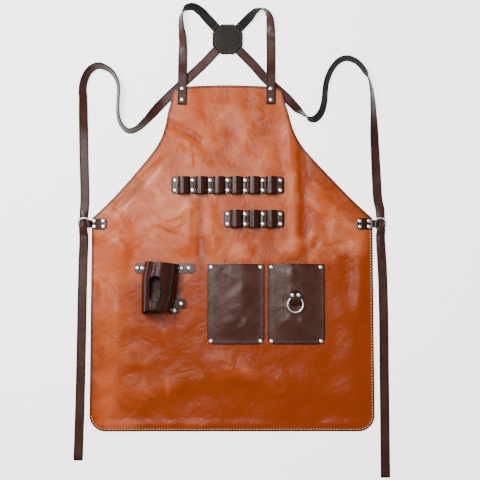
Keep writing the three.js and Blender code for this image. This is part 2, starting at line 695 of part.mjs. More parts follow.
const SEAT_BLEND = 26;
const PANEL_COLUMNS = 22;
const SKIRT_ROWS = 13;
const seats = [
  around(upperStripRivets, TOOL_STRIP_MARGIN, panelSeat),
  around(lowerStripRivets, TOOL_STRIP_MARGIN, panelSeat),
  around(pocketRivets(pocketCentres.left), POCKET_RIVET_INSET, panelSeat),
  around(pocketRivets(pocketCentres.right), POCKET_RIVET_INSET, panelSeat),
  around(holsterRivets, HOLSTER_TAB_DEPTH / 2, panelSeat),
  around(waistTabRivets(-1, waistTabInsets.left), WAIST_TAB_MARGIN, tabPanelSeat),
  around(waistTabRivets(1, waistTabInsets.right), WAIST_TAB_MARGIN, tabPanelSeat),
  bibCornerSeat(-1, strapEndRivets(LEFT_SHOULDER_ROUTE)),
  bibCornerSeat(1, strapEndRivets(RIGHT_SHOULDER_ROUTE)),
];

const foldHeight = (x, y) => FOLDS.reduce((sum, { across, along, angle, length, width, height }) => {
  const away = new THREE.Vector2(x - across * skirtHalf, y - along * APRON_LENGTH)
    .rotateAround(new THREE.Vector2(), -THREE.MathUtils.degToRad(angle));
  const beside = Math.exp(-((away.y / (width * APRON_LENGTH)) ** 2));
  const within = smooth(2 - (2 * Math.abs(away.x)) / (length * APRON_LENGTH));
  return sum + height * FOLD_HEIGHT * beside * within;
}, 0);

const panelUnderside = (x, y) => {
  let [level, free] = [0, 1];
  for (const seat of seats) {
    const sideways = Math.max(seat.left - x, x - seat.right, 0);
    const endways = Math.max(seat.low - y, y - seat.high, 0);
    const away = Math.max(Math.hypot(sideways, endways) - SKIRT_WIDTH / PANEL_COLUMNS, 0);
    const hold = smooth(1 - away / SEAT_BLEND);
    level = Math.max(level, seat.level * hold);
    free *= 1 - hold;
  }
  return level + foldHeight(x, y) * free;
};

const halfPanel = (y) => {
  const down = Math.min(Math.max((APRON_LENGTH - y) / ARMHOLE_LENGTH, 0), 1);
  const i = Math.max(ARMHOLE.findIndex((row) => row.down >= down), 1);
  const [above, below] = [ARMHOLE[i - 1], ARMHOLE[i]];
  const out = THREE.MathUtils.mapLinear(down, above.down, below.down, above.out, below.out);
  const rounding = (radius, distance) =>
    (distance >= radius ? 0 : radius - Math.sqrt(radius ** 2 - (radius - distance) ** 2));
  return THREE.MathUtils.lerp(bibHalf, skirtHalf, out)
    - rounding(HEM_CORNER_RADIUS, y)
    - rounding(BIB_CORNER_RADIUS, APRON_LENGTH - y);
};

const ROUND_CORNER_STEPS = [0, 0.14, 0.5];
const panelRows = [
  ...ROUND_CORNER_STEPS.map((share) => share * HEM_CORNER_RADIUS),
  ...spread(HEM_CORNER_RADIUS, APRON_LENGTH - ARMHOLE_LENGTH, SKIRT_ROWS),
  ...[...ARMHOLE].reverse().slice(1, -1).map(({ down }) => APRON_LENGTH - down * ARMHOLE_LENGTH),
  APRON_LENGTH - BIB_CORNER_RADIUS * 1.7,
  ...[...ROUND_CORNER_STEPS, 1].reverse().map((share) => APRON_LENGTH - share * BIB_CORNER_RADIUS),
];

const panelPoint = (column, y, rise) => {
  const shift = -BIB_SHIFT * smooth((y - APRON_LENGTH + ARMHOLE_LENGTH) / ARMHOLE_LENGTH);
  const x = shift + column * halfPanel(y);
  const arched = y - NECK_ARCH * column ** 2 * smooth((y / APRON_LENGTH - 0.9) * 10);
  return new THREE.Vector3(x, arched, panelUnderside(x, arched) + rise);
};

const panel = () => {
  const blank = sheet(
    spread(-1, 1, PANEL_COLUMNS),
    panelRows,
    (u, v) => panelPoint(u, v, 0),
    (u, v) => panelPoint(u, v, PANEL_THICKNESS),
  );
  return cutBy(blank, [...panelRivets, ...upperStripRivets, ...lowerStripRivets].map(rivetHole));
};

// Tool strips

// A strip rises into a loop between each two columns of rivets.
const LOOP_SECTION = [
  { across: 0, rise: 0 },
  { across: 0.12, rise: 0.55 },
  { across: 0.29, rise: 0.9 },
  { across: 0.5, rise: 1 },
  { across: 0.71, rise: 0.9 },
  { across: 0.88, rise: 0.55 },
  { across: 1, rise: 0 },
];

const toolStrip = (loops, centre, level, rivets) => {
  const low = trimSeat + TRIM_THICKNESS / 2;
  const start = centre - (loops * LOOP_PITCH) / 2;
  const line = [
    new THREE.Vector2(centre - stripHalf(loops), low),
    ...spread(0, loops - 1, loops - 1).flatMap((loop) =>
      LOOP_SECTION.map(({ across, rise }) => new THREE.Vector2(
        start + loop * LOOP_PITCH + LOOP_FLAT / 2 + across * (LOOP_PITCH - LOOP_FLAT),
        low + rise * LOOP_HEIGHT,
      ))),
    new THREE.Vector2(centre + stripHalf(loops), low),
  ];
  const half = TOOL_STRIP_DEPTH / 2;
  const band = standing(bandShape(line, TRIM_THICKNESS), level - half, level + half);
  const outline = roundedBox(
    centre - stripHalf(loops) - GAP,
    centre + stripHalf(loops) + GAP,
    level - half,
    level + half,
    TOOL_STRIP_MARGIN * 0.7,
  );
  const rounded = overlapOf(band, lying(outline, FLOOR, LOOP_HEIGHT * 3));
  const cap = trimSeat + TRIM_THICKNESS * 0.8;
  return joinedTo(rounded, rivets.map(({ x, y }) => rivetBody(x, y, FLOOR, cap)));
};

// Pockets

const POCKET_FOLDS = {
  left: [
    { across: -0.2, along: 0.62, angle: 40, length: 0.4, width: 0.06, height: -0.14 },
    { across: 0.2, along: 0.42, angle: 55, length: 0.35, width: 0.06, height: -0.12 },
    { across: 0.05, along: 0.8, angle: -30, length: 0.3, width: 0.05, height: 0.1 },
  ],
  right: [
    { across: -0.3, along: 0.5, angle: 90, length: 0.5, width: 0.05, height: 0.14 },
    { across: 0.25, along: 0.35, angle: 70, length: 0.3, width: 0.06, height: -0.12 },
  ],
};

const POCKET_RISE = 16;
const pocketHalf = (y) => {
  const low = y - POCKET_ABOVE_HEM + POCKET_LENGTH / 2;
  const inside = Math.max(POCKET_CORNER_RADIUS - low, 0);
  return POCKET_WIDTH / 2 - POCKET_CORNER_RADIUS + Math.sqrt(POCKET_CORNER_RADIUS ** 2 - inside ** 2);
};

// How far a pocket's front stands off the panel at a place on it.
const pocketStandOff = (folds, centre, x, y) => {
  const fromSide = POCKET_WIDTH / 2 - Math.abs(x - centre);
  const fromFoot = y - POCKET_ABOVE_HEM + POCKET_LENGTH / 2;
  const full = [fromSide, fromFoot].reduce(
    (share, inside) => share * smooth((inside - POCKET_RIM) / POCKET_RISE),
    1,
  );
  const dents = folds.reduce((sum, { across, along, angle, length, width, height }) => {
    const away = new THREE.Vector2(x - centre - across * POCKET_WIDTH, fromFoot - along * POCKET_LENGTH)
      .rotateAround(new THREE.Vector2(), -THREE.MathUtils.degToRad(angle));
    const within = smooth(2 - (2 * Math.abs(away.x)) / (length * POCKET_LENGTH));
    return sum + height * Math.exp(-((away.y / (width * POCKET_LENGTH)) ** 2)) * within;
  }, 0);
  return POCKET_DEPTH * full * (1 + dents);
};

const POCKET_COLUMNS = 8;
const POCKET_ROWS = 7;
const pocket = (side, holes) => {
  const low = POCKET_ABOVE_HEM - POCKET_LENGTH / 2;
  const rows = [
    ...ROUND_CORNER_STEPS.map((share) => low + share * POCKET_CORNER_RADIUS),
    ...spread(low + POCKET_CORNER_RADIUS, low + POCKET_LENGTH, POCKET_ROWS),
  ];
  const inner = 1 - (2 * POCKET_RIM) / POCKET_WIDTH;
  const columns = [-1, ...spread(-inner, inner, POCKET_COLUMNS), 1];
  const centre = pocketCentres[side];
  const point = (u, y, rise) => {
    const x = centre + u * pocketHalf(y);
    return new THREE.Vector3(x, y, trimSeat + pocketStandOff(POCKET_FOLDS[side], centre, x, y) + rise);
  };
  const blank = sheet(
    columns,
    rows,
    (u, v) => point(u, v, 0),
    (u, v) => point(u, v, TRIM_THICKNESS),
  );
  return cutBy(blank, holes.map(rivetHole));
};

// Waist tabs and rings

// A tab wraps the panel's edge and folds around its ring. Out is a share of the ring's
// radius from its outermost point inwards, and over and under are shares of the room that the fold
// takes above and below the ring.
const WAIST_FOLD = [
  { out: -0.08, over: 0.36, under: 0.96 },
  { out: 0.11, over: 0.78, under: 0.98 },
  { out: 0.3, over: 1, under: 1 },
  { out: 0.51, over: 1, under: 1 },
  { out: 0.66, over: 0.6, under: 0.6 },
  { out: 0.75, over: 0, under: 0 },
];

const ringReach = (WAIST_LOOP_DEPTH / 2) * Math.tan(tilt) + WAIST_RING_WIRE / 2 + GAP + TRIM_THICKNESS / 2;

const waistTab = (side, inset, rivets) => {
  const inner = skirtHalf - inset - WAIST_TAB_RIVET_SPAN - WAIST_TAB_MARGIN;
  const upper = tabPanelSeat + PANEL_THICKNESS + GAP + TRIM_THICKNESS / 2;
  const lower = panelSeat + TRIM_THICKNESS / 2;
  const fold = (rise) => WAIST_FOLD.map((row) => new THREE.Vector2(
    skirtHalf + WAIST_RING_OFF_EDGE + row.out * waistRingRadius,
    waistRingHeight + rise(row) * ringReach,
  ));
  const line = [
    new THREE.Vector2(inner, upper),
    new THREE.Vector2(skirtHalf - GAP, upper),
    ...fold(({ over }) => over),
    ...fold(({ under }) => -under).reverse().slice(1),
    new THREE.Vector2(skirtHalf - GAP, lower),
    new THREE.Vector2(inner, lower),
  ].map(({ x, y }) => new THREE.Vector2(side * x, y));
  const half = WAIST_TAB_DEPTH / 2;
  const band = standing(bandShape(line, TRIM_THICKNESS), waistTabLevel - half, waistTabLevel + half);
  const outline = new THREE.Shape();
  const loop = WAIST_LOOP_DEPTH / 2;
  const tip = skirtHalf + waistRingRadius * 2;
  [
    [inner - GAP, half * 0.6],
    [inner + half * 0.4, half],
    [skirtHalf - half * 0.3, half],
    [skirtHalf + GAP, loop],
    [tip, loop],
    [tip, -loop],
    [skirtHalf + GAP, -loop],
    [skirtHalf - half * 0.3, -half],
    [inner + half * 0.4, -half],
    [inner - GAP, -half * 0.6],
  ].forEach(([x, y], i) => {
    const draw = i ? 'lineTo' : 'moveTo';
    outline[draw](side * x, waistTabLevel + y);
  });
  const blank = overlapOf(band, lying(outline, -LOOP_HEIGHT, LOOP_HEIGHT * 3));
  return cutBy(blank, rivets.map(rivetHole));
};

const waistRing = (side) => new THREE.TorusGeometry(waistRingRadius, WAIST_RING_WIRE / 2, 6, 22)
  .rotateX(tilt)
  .translate(side * waistRingCentre, waistTabLevel, waistRingHeight);

// Pocket ring and its keeper

const pocketFace = trimSeat + POCKET_DEPTH + TRIM_THICKNESS;
const keeperSeat = pocketFace + GAP;
const keeperCentre = pocketCentres.right - 2.3;
const keeperTop = POCKET_ABOVE_HEM + POCKET_LENGTH * 0.155;
const keeperRivetLevel = keeperTop - KEEPER_LENGTH * 0.28;
const pocketRingRadius = (POCKET_RING_INNER_DIAMETER + POCKET_RING_WIRE) / 2;
const pocketRingReach = pocketRingRadius + POCKET_RING_WIRE / 2;
const pocketRingCentre = keeperRivetLevel - RIVET_POST_DIAMETER / 2 - GAP * 2 - pocketRingReach;
const pocketRingHeight = keeperSeat + TRIM_THICKNESS + GAP + POCKET_RING_WIRE / 2;
const keeperRivets = [-1, 1].map((side) => ({
  x: keeperCentre + (side * KEEPER_RIVET_SPAN) / 2,
  y: keeperRivetLevel,
}));

// The strip of leather runs down, folds round the ring and comes back up to its own end.
const ringKeeper = () => {
  const lower = keeperSeat + TRIM_THICKNESS / 2;
  const upper = pocketRingHeight + POCKET_RING_WIRE / 2 + GAP + TRIM_THICKNESS / 2;
  const radius = (upper - lower) / 2;
  const foot = keeperTop - KEEPER_LENGTH + radius + TRIM_THICKNESS / 2;
  const line = [
    new THREE.Vector2(keeperTop, lower),
    ...spread(-90, -270, 6).map((angle) => new THREE.Vector2(
      foot + radius * Math.cos(THREE.MathUtils.degToRad(angle)),
      lower + radius + radius * Math.sin(THREE.MathUtils.degToRad(angle)),
    )),
    new THREE.Vector2(keeperTop - RIVET_CAP_DIAMETER * 0.35, upper),
    new THREE.Vector2(keeperTop, lower + TRIM_THICKNESS + GAP * 2),
  ];
  const section = bandShape(line, TRIM_THICKNESS);
  const body = new THREE.ExtrudeGeometry(section, { depth: KEEPER_WIDTH, bevelEnabled: false });
  body.rotateX(Math.PI / 2).rotateZ(Math.PI / 2).translate(keeperCentre - KEEPER_WIDTH / 2, 0, 0);
  return cutBy(body, keeperRivets.map(rivetHole));
};

const pocketRing = () => new THREE.TorusGeometry(pocketRingRadius, POCKET_RING_WIRE / 2, 6, 24)
  .translate(keeperCentre, pocketRingCentre, pocketRingHeight);

// Patch where the straps cross

const octagon = (bottom) => {
  const corner = PATCH_WIDTH / 2 / Math.cos(Math.PI / 8);
  const shape = new THREE.Shape(spread(0.5, 7.5, 7).map((eighth) => new THREE.Vector2(
    patchCentre.x + corner * Math.cos((eighth * Math.PI) / 4),
    patchCentre.y + corner * Math.sin((eighth * Math.PI) / 4),
  )));
  return lying(shape, bottom, bottom + PATCH_THICKNESS);
};

// Rivets that stand by themselves, by the layers that they hold

const tabPanelTop = tabPanelSeat + PANEL_THICKNESS + GAP;
const sideNames = ['left', 'right'];
const cornerNames = ['lower_left', 'upper_left', 'lower_right', 'upper_right'];
const named = (prefix, names, points, back, cap) =>
  points.map((point, i) => ({ ...point, name: `rivet_${prefix}_${names[i]}`, back, cap }));

const strapCap = bibStrapSeat + STRAP_THICKNESS + GAP;
const trimCap = trimSeat + TRIM_THICKNESS + GAP;
const leftTabRivets = waistTabRivets(-1, waistTabInsets.left);
const rightTabRivets = waistTabRivets(1, waistTabInsets.right);
const tabNames = ['outer_lower', 'outer_upper', 'inner_lower', 'inner_upper'];
const tabCap = tabPanelTop + TRIM_THICKNESS + GAP;
const endNames = ['upper', 'lower'];
const onShoulder = (side, route) =>
  named(`${side}_shoulder`, endNames, strapEndRivets(route), STRAP_THICKNESS + GAP, strapCap);
const looseRivets = {
  leftShoulder: onShoulder('left', LEFT_SHOULDER_ROUTE),
  rightShoulder: onShoulder('right', RIGHT_SHOULDER_ROUTE),
  leftPocket: named('left_pocket', cornerNames, pocketRivets(pocketCentres.left), FLOOR, trimCap),
  rightPocket: named('right_pocket', cornerNames, pocketRivets(pocketCentres.right), FLOOR, trimCap),
  leftTab: named('left_tab', tabNames, leftTabRivets, FLOOR, tabCap),
  rightTab: named('right_tab', tabNames, rightTabRivets, FLOOR, tabCap),
  holster: holsterRivets.map((rivet) => ({ ...rivet, back: FLOOR, cap: trimSeat + HOLSTER_THICKNESS + GAP })),
};
const keeperRivetCap = pocketRingHeight + POCKET_RING_WIRE / 2 + TRIM_THICKNESS + GAP * 2;
const keeperRivetBack = trimSeat + POCKET_DEPTH - GAP - RIVET_BACK_HEIGHT;
const ringKeeperRivets = named('keeper', sideNames, keeperRivets, keeperRivetBack, keeperRivetCap);
const panelRivets = Object.values(looseRivets).flat();

// Assembly

add('apron_panel', panel(), PANEL_LEATHER());
const upperStrip = toolStrip(
  UPPER_STRIP_LOOPS,
  TOOL_STRIP_CENTRE,
  UPPER_STRIP_ABOVE_HEM,
  upperStripRivets,
);
const lowerStrip = toolStrip(
  LOWER_STRIP_LOOPS,
  lowerStripCentre,
  LOWER_STRIP_ABOVE_HEM,
  lowerStripRivets,
);
const rightPocketHoles = [...looseRivets.rightPocket, ...ringKeeperRivets];
const riveted = (rows, rivets) => cutBy(strap(rows), rivets.map(rivetHole));
add('tool_strip_upper', upperStrip, DARK_LEATHER());
add('tool_strip_lower', lowerStrip, DARK_LEATHER());
add('pocket_left', pocket('left', looseRivets.leftPocket), DARK_LEATHER());
add('pocket_right', pocket('right', rightPocketHoles), DARK_LEATHER());
add('pocket_ring_keeper', ringKeeper(), DARK_LEATHER());
add('pocket_ring', closed(pocketRing()), NICKEL());
add('holster', holster(), DARK_LEATHER());
add('waist_tab_left', waistTab(-1, waistTabInsets.left, leftTabRivets), DARK_LEATHER());
add('waist_tab_right', waistTab(1, waistTabInsets.right, rightTabRivets), DARK_LEATHER());
add('waist_ring_left', closed(waistRing(-1)), NICKEL());
add('waist_ring_right', closed(waistRing(1)), NICKEL());
add('crossback_patch_back', closed(octagon(FLOOR)), PATCH_LEATHER());
add('crossback_patch_front', closed(octagon(frontPatchSeat)), PATCH_LEATHER());
add('shoulder_strap_left', riveted(leftShoulderRows, looseRivets.leftShoulder), STRAP_LEATHER());
add('shoulder_strap_right', riveted(rightShoulderRows, looseRivets.rightShoulder), STRAP_LEATHER());
add('waist_strap_left', strap(leftWaistRows), STRAP_LEATHER());
add('waist_strap_right', strap(rightWaistRows), STRAP_LEATHER());
for (const { name, x, y, back, cap } of [...panelRivets, ...ringKeeperRivets]) {
  add(name, closed(rivetBody(x, y, back, cap)), NICKEL());
}

// The origin is under the middle of the whole, on the surface that it lies on.
const room = new THREE.Box3().setFromObject(apron);
const middle = room.getCenter(new THREE.Vector3());
apron.position.set(-middle.x, -middle.y, -room.min.z);
apron.updateMatrixWorld(true);

export default apron;
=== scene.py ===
"""Dresses a lying bib apron of faux leather: its leather, straps, stitches and metal."""

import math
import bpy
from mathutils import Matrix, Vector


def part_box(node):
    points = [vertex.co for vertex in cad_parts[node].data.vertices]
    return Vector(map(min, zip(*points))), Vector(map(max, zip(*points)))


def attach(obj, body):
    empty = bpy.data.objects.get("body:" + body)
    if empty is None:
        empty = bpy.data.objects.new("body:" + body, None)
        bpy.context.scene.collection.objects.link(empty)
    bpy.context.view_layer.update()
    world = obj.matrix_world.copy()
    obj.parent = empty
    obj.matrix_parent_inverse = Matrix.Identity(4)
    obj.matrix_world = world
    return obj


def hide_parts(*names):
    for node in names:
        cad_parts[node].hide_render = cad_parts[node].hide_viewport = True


bl_info = {
    "name": "Leather Apron",
    "version": (1, 0, 0),
    "blender": (4, 5, 0),
    "location": "View3D > Sidebar > Apron",
    "description": "Makes the leather, straps, stitches and metal of a lying work apron",
    "category": "Object",
}

import bpy
import numpy as np
from mathutils import Vector

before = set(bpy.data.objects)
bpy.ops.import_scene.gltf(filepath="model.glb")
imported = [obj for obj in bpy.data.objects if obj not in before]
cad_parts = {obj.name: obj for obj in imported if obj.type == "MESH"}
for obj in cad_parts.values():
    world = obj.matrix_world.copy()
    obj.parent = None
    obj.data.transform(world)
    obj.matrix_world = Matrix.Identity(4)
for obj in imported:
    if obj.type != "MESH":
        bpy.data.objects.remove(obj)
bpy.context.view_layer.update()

# Places. Shapes are worked out in millimetres from the middle of the hem, with Y to the neck.

MM = 0.001
PANEL_LOW, PANEL_HIGH = (np.array(corner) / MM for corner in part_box("apron_panel"))
HEM_MIDDLE = np.array([(PANEL_LOW[0] + PANEL_HIGH[0]) / 2, PANEL_LOW[1], 0])
SKIRT_HALF = (PANEL_HIGH[0] - PANEL_LOW[0]) / 2
APRON_LENGTH = PANEL_HIGH[1] - PANEL_LOW[1]


def box(node):
    """A node's lowest and highest corners, in millimetres from the middle of the hem."""
    return [np.array(corner) / MM - HEM_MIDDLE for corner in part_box(node)]


def middle(node):
    low, high = box(node)
    return (low + high) / 2


# The panel's outline, and the layers on it

BIB_HALF = 118
BIB_SHIFT = 10
BIB_CORNER_RADIUS = 14
HEM_CORNER_RADIUS = 34
ARMHOLE_LENGTH = 290
NECK_ARCH = 5
PANEL_SEAT = 1.5
TRIM_SEAT = 3.6
GAP = 0.3
RIVET_BACK_HEIGHT = 1.2
RIVET_POST_RADIUS = 1.5
UP = np.array([0.0, 0.0, 1.0])


def length_of(name, description, size):
    """A user's size, given here in millimetres."""
    return bpy.props.FloatProperty(name=name, description=description, default=size * MM, unit="LENGTH")


def colour_of(name, description, *default):
    """A user's colour."""
    return bpy.props.FloatVectorProperty(
        name=name, description=description, size=3, subtype="COLOR", default=default)


class ApronSizes(bpy.types.PropertyGroup):
    """Sizes of the leather, the thread and the metal."""

    panel_thickness: length_of("Panel", "Thickness of the panel's leather", 1.8)
    trim_thickness: length_of("Trim", "Thickness of strips, pockets and tabs", 1.6)
    strap_thickness: length_of("Strap", "Thickness of the straps", 2)
    strap_width: length_of("Strap width", "Width of the straps", 20)
    holster_thickness: length_of("Holster", "Thickness of the holster's leather", 2.4)
    rim: length_of("Rim", "Rounding of the cut edges", 0.7)
    stitch_pitch: length_of("Pitch", "From one stitch to the next", 6)
    stitch_length: length_of("Stitch", "Length of one stitch", 3.6)
    stitch_inset: length_of("Inset", "From the edge to the stitches", 4.6)
    thread_width: length_of("Thread", "Thickness of the thread", 1.8)
    rivet_cap: length_of("Cap", "Diameter of a rivet's cap", 9.4)
    rivet_height: length_of("Cap height", "Height of a rivet's cap", 2.2)


class ApronColours(bpy.types.PropertyGroup):
    """Colours of the leather, the thread and the metal."""

    panel: colour_of("Panel", "Orange-brown leather", 0.43, 0.075, 0.0145)
    # panel_dark is the leather's darker blotches, and also painted shade towards the lower right and in the
    # folds' valleys.
    panel_dark: colour_of("Panel shade", "Darker blotches", 0.25, 0.032, 0.0012)
    # The next colour is a painted sheen: pale patches on the upper left.
    panel_painted_sheen: colour_of("Panel bloom", "Lighter blotches", 0.62, 0.19, 0.08)
    trim: colour_of("Trim", "Dark brown leather", 0.026, 0.005, 0.0022)
    pocket: colour_of("Pockets", "Brown leather of the pockets", 0.044, 0.0135, 0.008)
    strap: colour_of("Strap", "Front of the straps", 0.042, 0.0132, 0.0085)
    strap_back: colour_of("Strap back", "Back of the straps", 0.007, 0.006, 0.005)
    patch: colour_of("Patch", "Olive-black leather", 0.0115, 0.0098, 0.0066)
    thread: colour_of("Thread", "Thread along the hem and the right side", 0.85, 0.56, 0.3)
    # The next colour is the same border thread, painted darker as shade.
    dark_thread: colour_of("Dark thread", "Thread along the neck and the left side", 0.02, 0.006, 0.004)
    trim_thread: colour_of("Trim thread", "Thread on the dark leather", 0.13, 0.075, 0.06)
    strap_thread: colour_of("Strap thread", "Thread on the straps", 0.008, 0.005, 0.004)
    nickel: colour_of("Nickel", "Rivets and rings", 0.97, 0.96, 0.93)
    floor: colour_of("Floor", "The plain floor", 0.93, 0.93, 0.92)


def sizes():
    return bpy.context.scene.apron_sizes


def colours():
    return bpy.context.scene.apron_colours


def mm(name):
    """One of the apron's sizes, in millimetres."""
    return getattr(sizes(), name) / MM


# Shader nodes


class Wire:
    """A shader value. Sums and products with it add the Math nodes that they need."""

    def __init__(self, finish, socket):
        self.finish = finish
        self.socket = socket

    def math(self, operation, *values):
        return self.finish.node("ShaderNodeMath", {"operation": operation}, dict(enumerate(values)))

    def __add__(self, other):
        return self.math("ADD", self, other)

    __radd__ = __add__

    def __sub__(self, other):
        return self.math("SUBTRACT", self, other)

    def __rsub__(self, other):
        return self.math("SUBTRACT", other, self)

    def __mul__(self, other):
        return self.math("MULTIPLY", self, other)

    __rmul__ = __mul__

    def within(self, low, high, start=0.0, end=1.0):
        """Start below low, end above high and smooth in between."""
        settings = {"interpolation_type": "SMOOTHSTEP"}
        inputs = {"Value": self, "From Min": low, "From Max": high, "To Min": start, "To Max": end}
        return self.finish.node("ShaderNodeMapRange", settings, inputs)


class Finish:
    """A material whose look is worked out by nodes."""

    def __init__(self, name):
        self.material = bpy.data.materials.new(name)
        self.material.use_nodes = True
        self.tree = self.material.node_tree
        self.shader = self.tree.nodes["Principled BSDF"]

    def connect(self, socket, value):
        if isinstance(value, Wire):
            self.tree.links.new(value.socket, socket)
        elif socket.type == "RGBA":
            socket.default_value = (*value[:3], 1)
        else:
            socket.default_value = value

    def node(self, kind, settings=None, inputs=None, output=0):
        node = self.tree.nodes.new(kind)
        for key, value in (settings or {}).items():
            setattr(node, key, value)
        for key, value in (inputs or {}).items():
            self.connect(node.inputs[key], value)
        return Wire(self, node.outputs[output])

    def place(self):
        return self.node("ShaderNodeTexCoord", output="Object")

    def attribute(self, name):
        return self.node("ShaderNodeAttribute", {"attribute_name": name}, output="Fac")

    def noise(self, scale, detail=2.0, roughness=0.5, distortion=0.0):
        inputs = {"Vector": self.place(), "Scale": scale, "Detail": detail, "Roughness": roughness,
                  "Distortion": distortion}
        return self.node("ShaderNodeTexNoise", None, inputs)

    def grain(self, scale):
        inputs = {"Vector": self.place(), "Scale": scale}
        return self.node("ShaderNodeTexVoronoi", {"feature": "SMOOTH_F1"}, inputs)

    def mix(self, share, under, over):
        """The colour under where the share is 0, and the one over it where the share is 1."""
        return self.node("ShaderNodeMix", {"data_type": "RGBA"}, {0: share, 6: under, 7: over}, 2)

    def bump(self, height, distance):
        inputs = {"Height": height, "Distance": distance, "Strength": 0.5}
        return self.node("ShaderNodeBump", None, inputs)

    def surface(self, **values):
        """Sets the shader's sockets by their names."""
        for key, value in values.items():
            self.connect(self.shader.inputs[key.replace("_", " ").title().replace("Ior", "IOR")], value)
        return self.material


SEAM_SHADE = (0.06, 0.009, 0.003)
HOLSTER_SHADE = (0.045, 0.006, 0.003)
PANEL_EDGE = (0.02, 0.004, 0.002)
BROWN_EDGE = (0.004, 0.003, 0.002)
PAINTED_DARK_RIM = (0.02, 0.018, 0.016)
BROWN_LEATHERS = {
    # gloss, sheen, relief
    "trim": (0.15, 0.3, 0.2),
    "pocket": (0.26, 0.34, 1.0),
    "strap": (0.28, 0.2, 1.0),
    "patch": (0.5, 0.16, 1.0),
}


def toned(colour, factor):
    return [channel * factor for channel in colour]


def panel_leather(name):
    """Smooth orange-brown pull-up leather with a painted edge and random blotches, with painted light and a
    painted sheen on the upper left, and painted shade towards the lower right, in the folds' valleys and
    under the holster.
    """
    finish = Finish(name)
    rim = finish.attribute("rim")
    blotches = finish.noise(26, 4, 0.62, 0.6)
    clouds = finish.noise(7, 3, 0.5)
    across, along = (finish.node("ShaderNodeSeparateXYZ", None, {0: finish.place()}, axis) for axis in "XY")
    # pull is the folds' lift: the leather is paler on the ridges, as pull-up leather is, and darker in the
    # valleys as painted shade.
    pull = finish.attribute("pull") * 0.1 - 0.38
    # Painted light: the leather is made lighter towards the top and the left, as if lit from the top left,
    # and darker towards the lower right. The blotches and clouds add random tone.
    bib = along.within(-0.15, 0.0) * 0.46 + along * 0.22
    painted_light_and_tone = (bib - across * 0.95 + blotches * 0.5 + clouds * 0.3 + pull).within(0.12, 0.72)
    # Painted sheen: pale patches, mostly on the upper left, that stand in for the lamps' reflection.
    painted_sheen = clouds.within(0.38, 0.68) * blotches.within(0.4, 0.7, 0.2, 1) * painted_light_and_tone
    seam = rim.within(3.2, 4.0) * rim.within(4.8, 5.8, 1, 0)
    colour = finish.mix(painted_light_and_tone, colours().panel_dark, colours().panel)
    colour = finish.mix(painted_sheen, colour, colours().panel_painted_sheen)
    colour = finish.mix(seam * 0.4, colour, SEAM_SHADE)
    colour = finish.mix(rim.within(2.3, 3.2, 0.95, 0), colour, PANEL_EDGE)
    colour = finish.mix(finish.attribute("shade"), colour, HOLSTER_SHADE)
    height = finish.grain(700) * 0.05 + finish.noise(80, 5, 0.62, 0.4) * 0.6
    height = height + finish.noise(26, 3, 0.55, 0.8) * 2.0 + finish.noise(10, 2, 0.5, 0.5) * 3.4
    return finish.surface(base_color=colour, roughness=blotches.within(0.3, 0.7, 0.24, 0.35),
                          normal=finish.bump(height, 1.6 * MM), specular_ior_level=0.19)


def brown_leather(name):
    """Dark leather with a satin sheen, darker along its cut edges."""
    finish = Finish(name)
    kind = name.removesuffix("_leather")
    gloss, sheen, relief = BROWN_LEATHERS[kind]
    colour = getattr(colours(), kind)
    clouds = finish.noise(30, 4, 0.6)
    shade = finish.mix(clouds.within(0.35, 0.7), colour, toned(colour, 1.35))
    roughness = clouds.within(0.3, 0.7, gloss, gloss + 0.14)
    if kind == "strap":
        front = finish.attribute("front").within(0.45, 0.55)
        shade = finish.mix(front, colours().strap_back, shade)
        roughness = roughness + (1 - front) * 0.4
    shade = finish.mix(finish.attribute("rim").within(2.0, 3.2, 0.95, 0), shade, BROWN_EDGE)
    height = finish.grain(900) * 0.12 + finish.noise(140, 5, 0.6) * 0.5 * relief
    height = height + finish.noise(26, 2, 0.5) * 3.2 * relief
    return finish.surface(base_color=shade, roughness=roughness, normal=finish.bump(height, 0.8 * MM),
                          specular_ior_level=sheen)


def twisted_thread(name):
    finish = Finish(name)
    colour = getattr(colours(), name)
    return finish.surface(base_color=finish.mix(finish.noise(900), toned(colour, 0.6), colour), roughness=0.7)


def nickel(name):
    """Polished nickel plate with faint handling marks, and a painted dark reflection and shade round the edge
    of a rivet's cap.
    """
    finish = Finish(name)
    marks = finish.noise(260, 4, 0.6)
    colour = finish.mix(marks.within(0.3, 0.7), toned(colours().nickel, 0.92), colours().nickel)
    # Painted reflection and shade: a dark ring round the edge of each rivet's cap.
    colour = finish.mix(finish.attribute("rim").within(0.7, 1.3, 0.93, 0), colour, PAINTED_DARK_RIM)
    return finish.surface(base_color=colour, metallic=1.0, roughness=marks.within(0.3, 0.7, 0.34, 0.44))


FINISHES = {}


def finish_named(name):
    """One of the apron's materials, made when it is first asked for."""
    if name not in FINISHES:
        maker = twisted_thread if name.endswith("thread") else brown_leather
        FINISHES[name] = {"panel_leather": panel_leather, "nickel": nickel}.get(name, maker)(name)
    return FINISHES[name]


# Lines and places


def ease(t):
    t = np.clip(t, 0, 1)
    return t * t * (3 - 2 * t)


def unit(rows):
    return rows / np.linalg.norm(rows, axis=-1, keepdims=True)


def left_of(ahead):
    """The directions to the left of others, in a plane."""
    return np.stack([-ahead[:, 1], ahead[:, 0]], -1)


def travelled(line):
    """How far along a line each of its places is."""
    return np.concatenate([[0], np.cumsum(np.linalg.norm(np.diff(line, axis=0), axis=1))])


def turned(x, y, degrees):
    turn = math.radians(degrees)
    return x * math.cos(turn) - y * math.sin(turn), x * math.sin(turn) + y * math.cos(turn)


def ridge(x, y, angle, length, width):
    """How much of a soft ridge places have, from their offsets from its middle."""
    ahead, beside = turned(x, y, -angle)
    return np.exp(-((beside / width) ** 2)) * ease(2 - 2 * np.abs(ahead) / length)


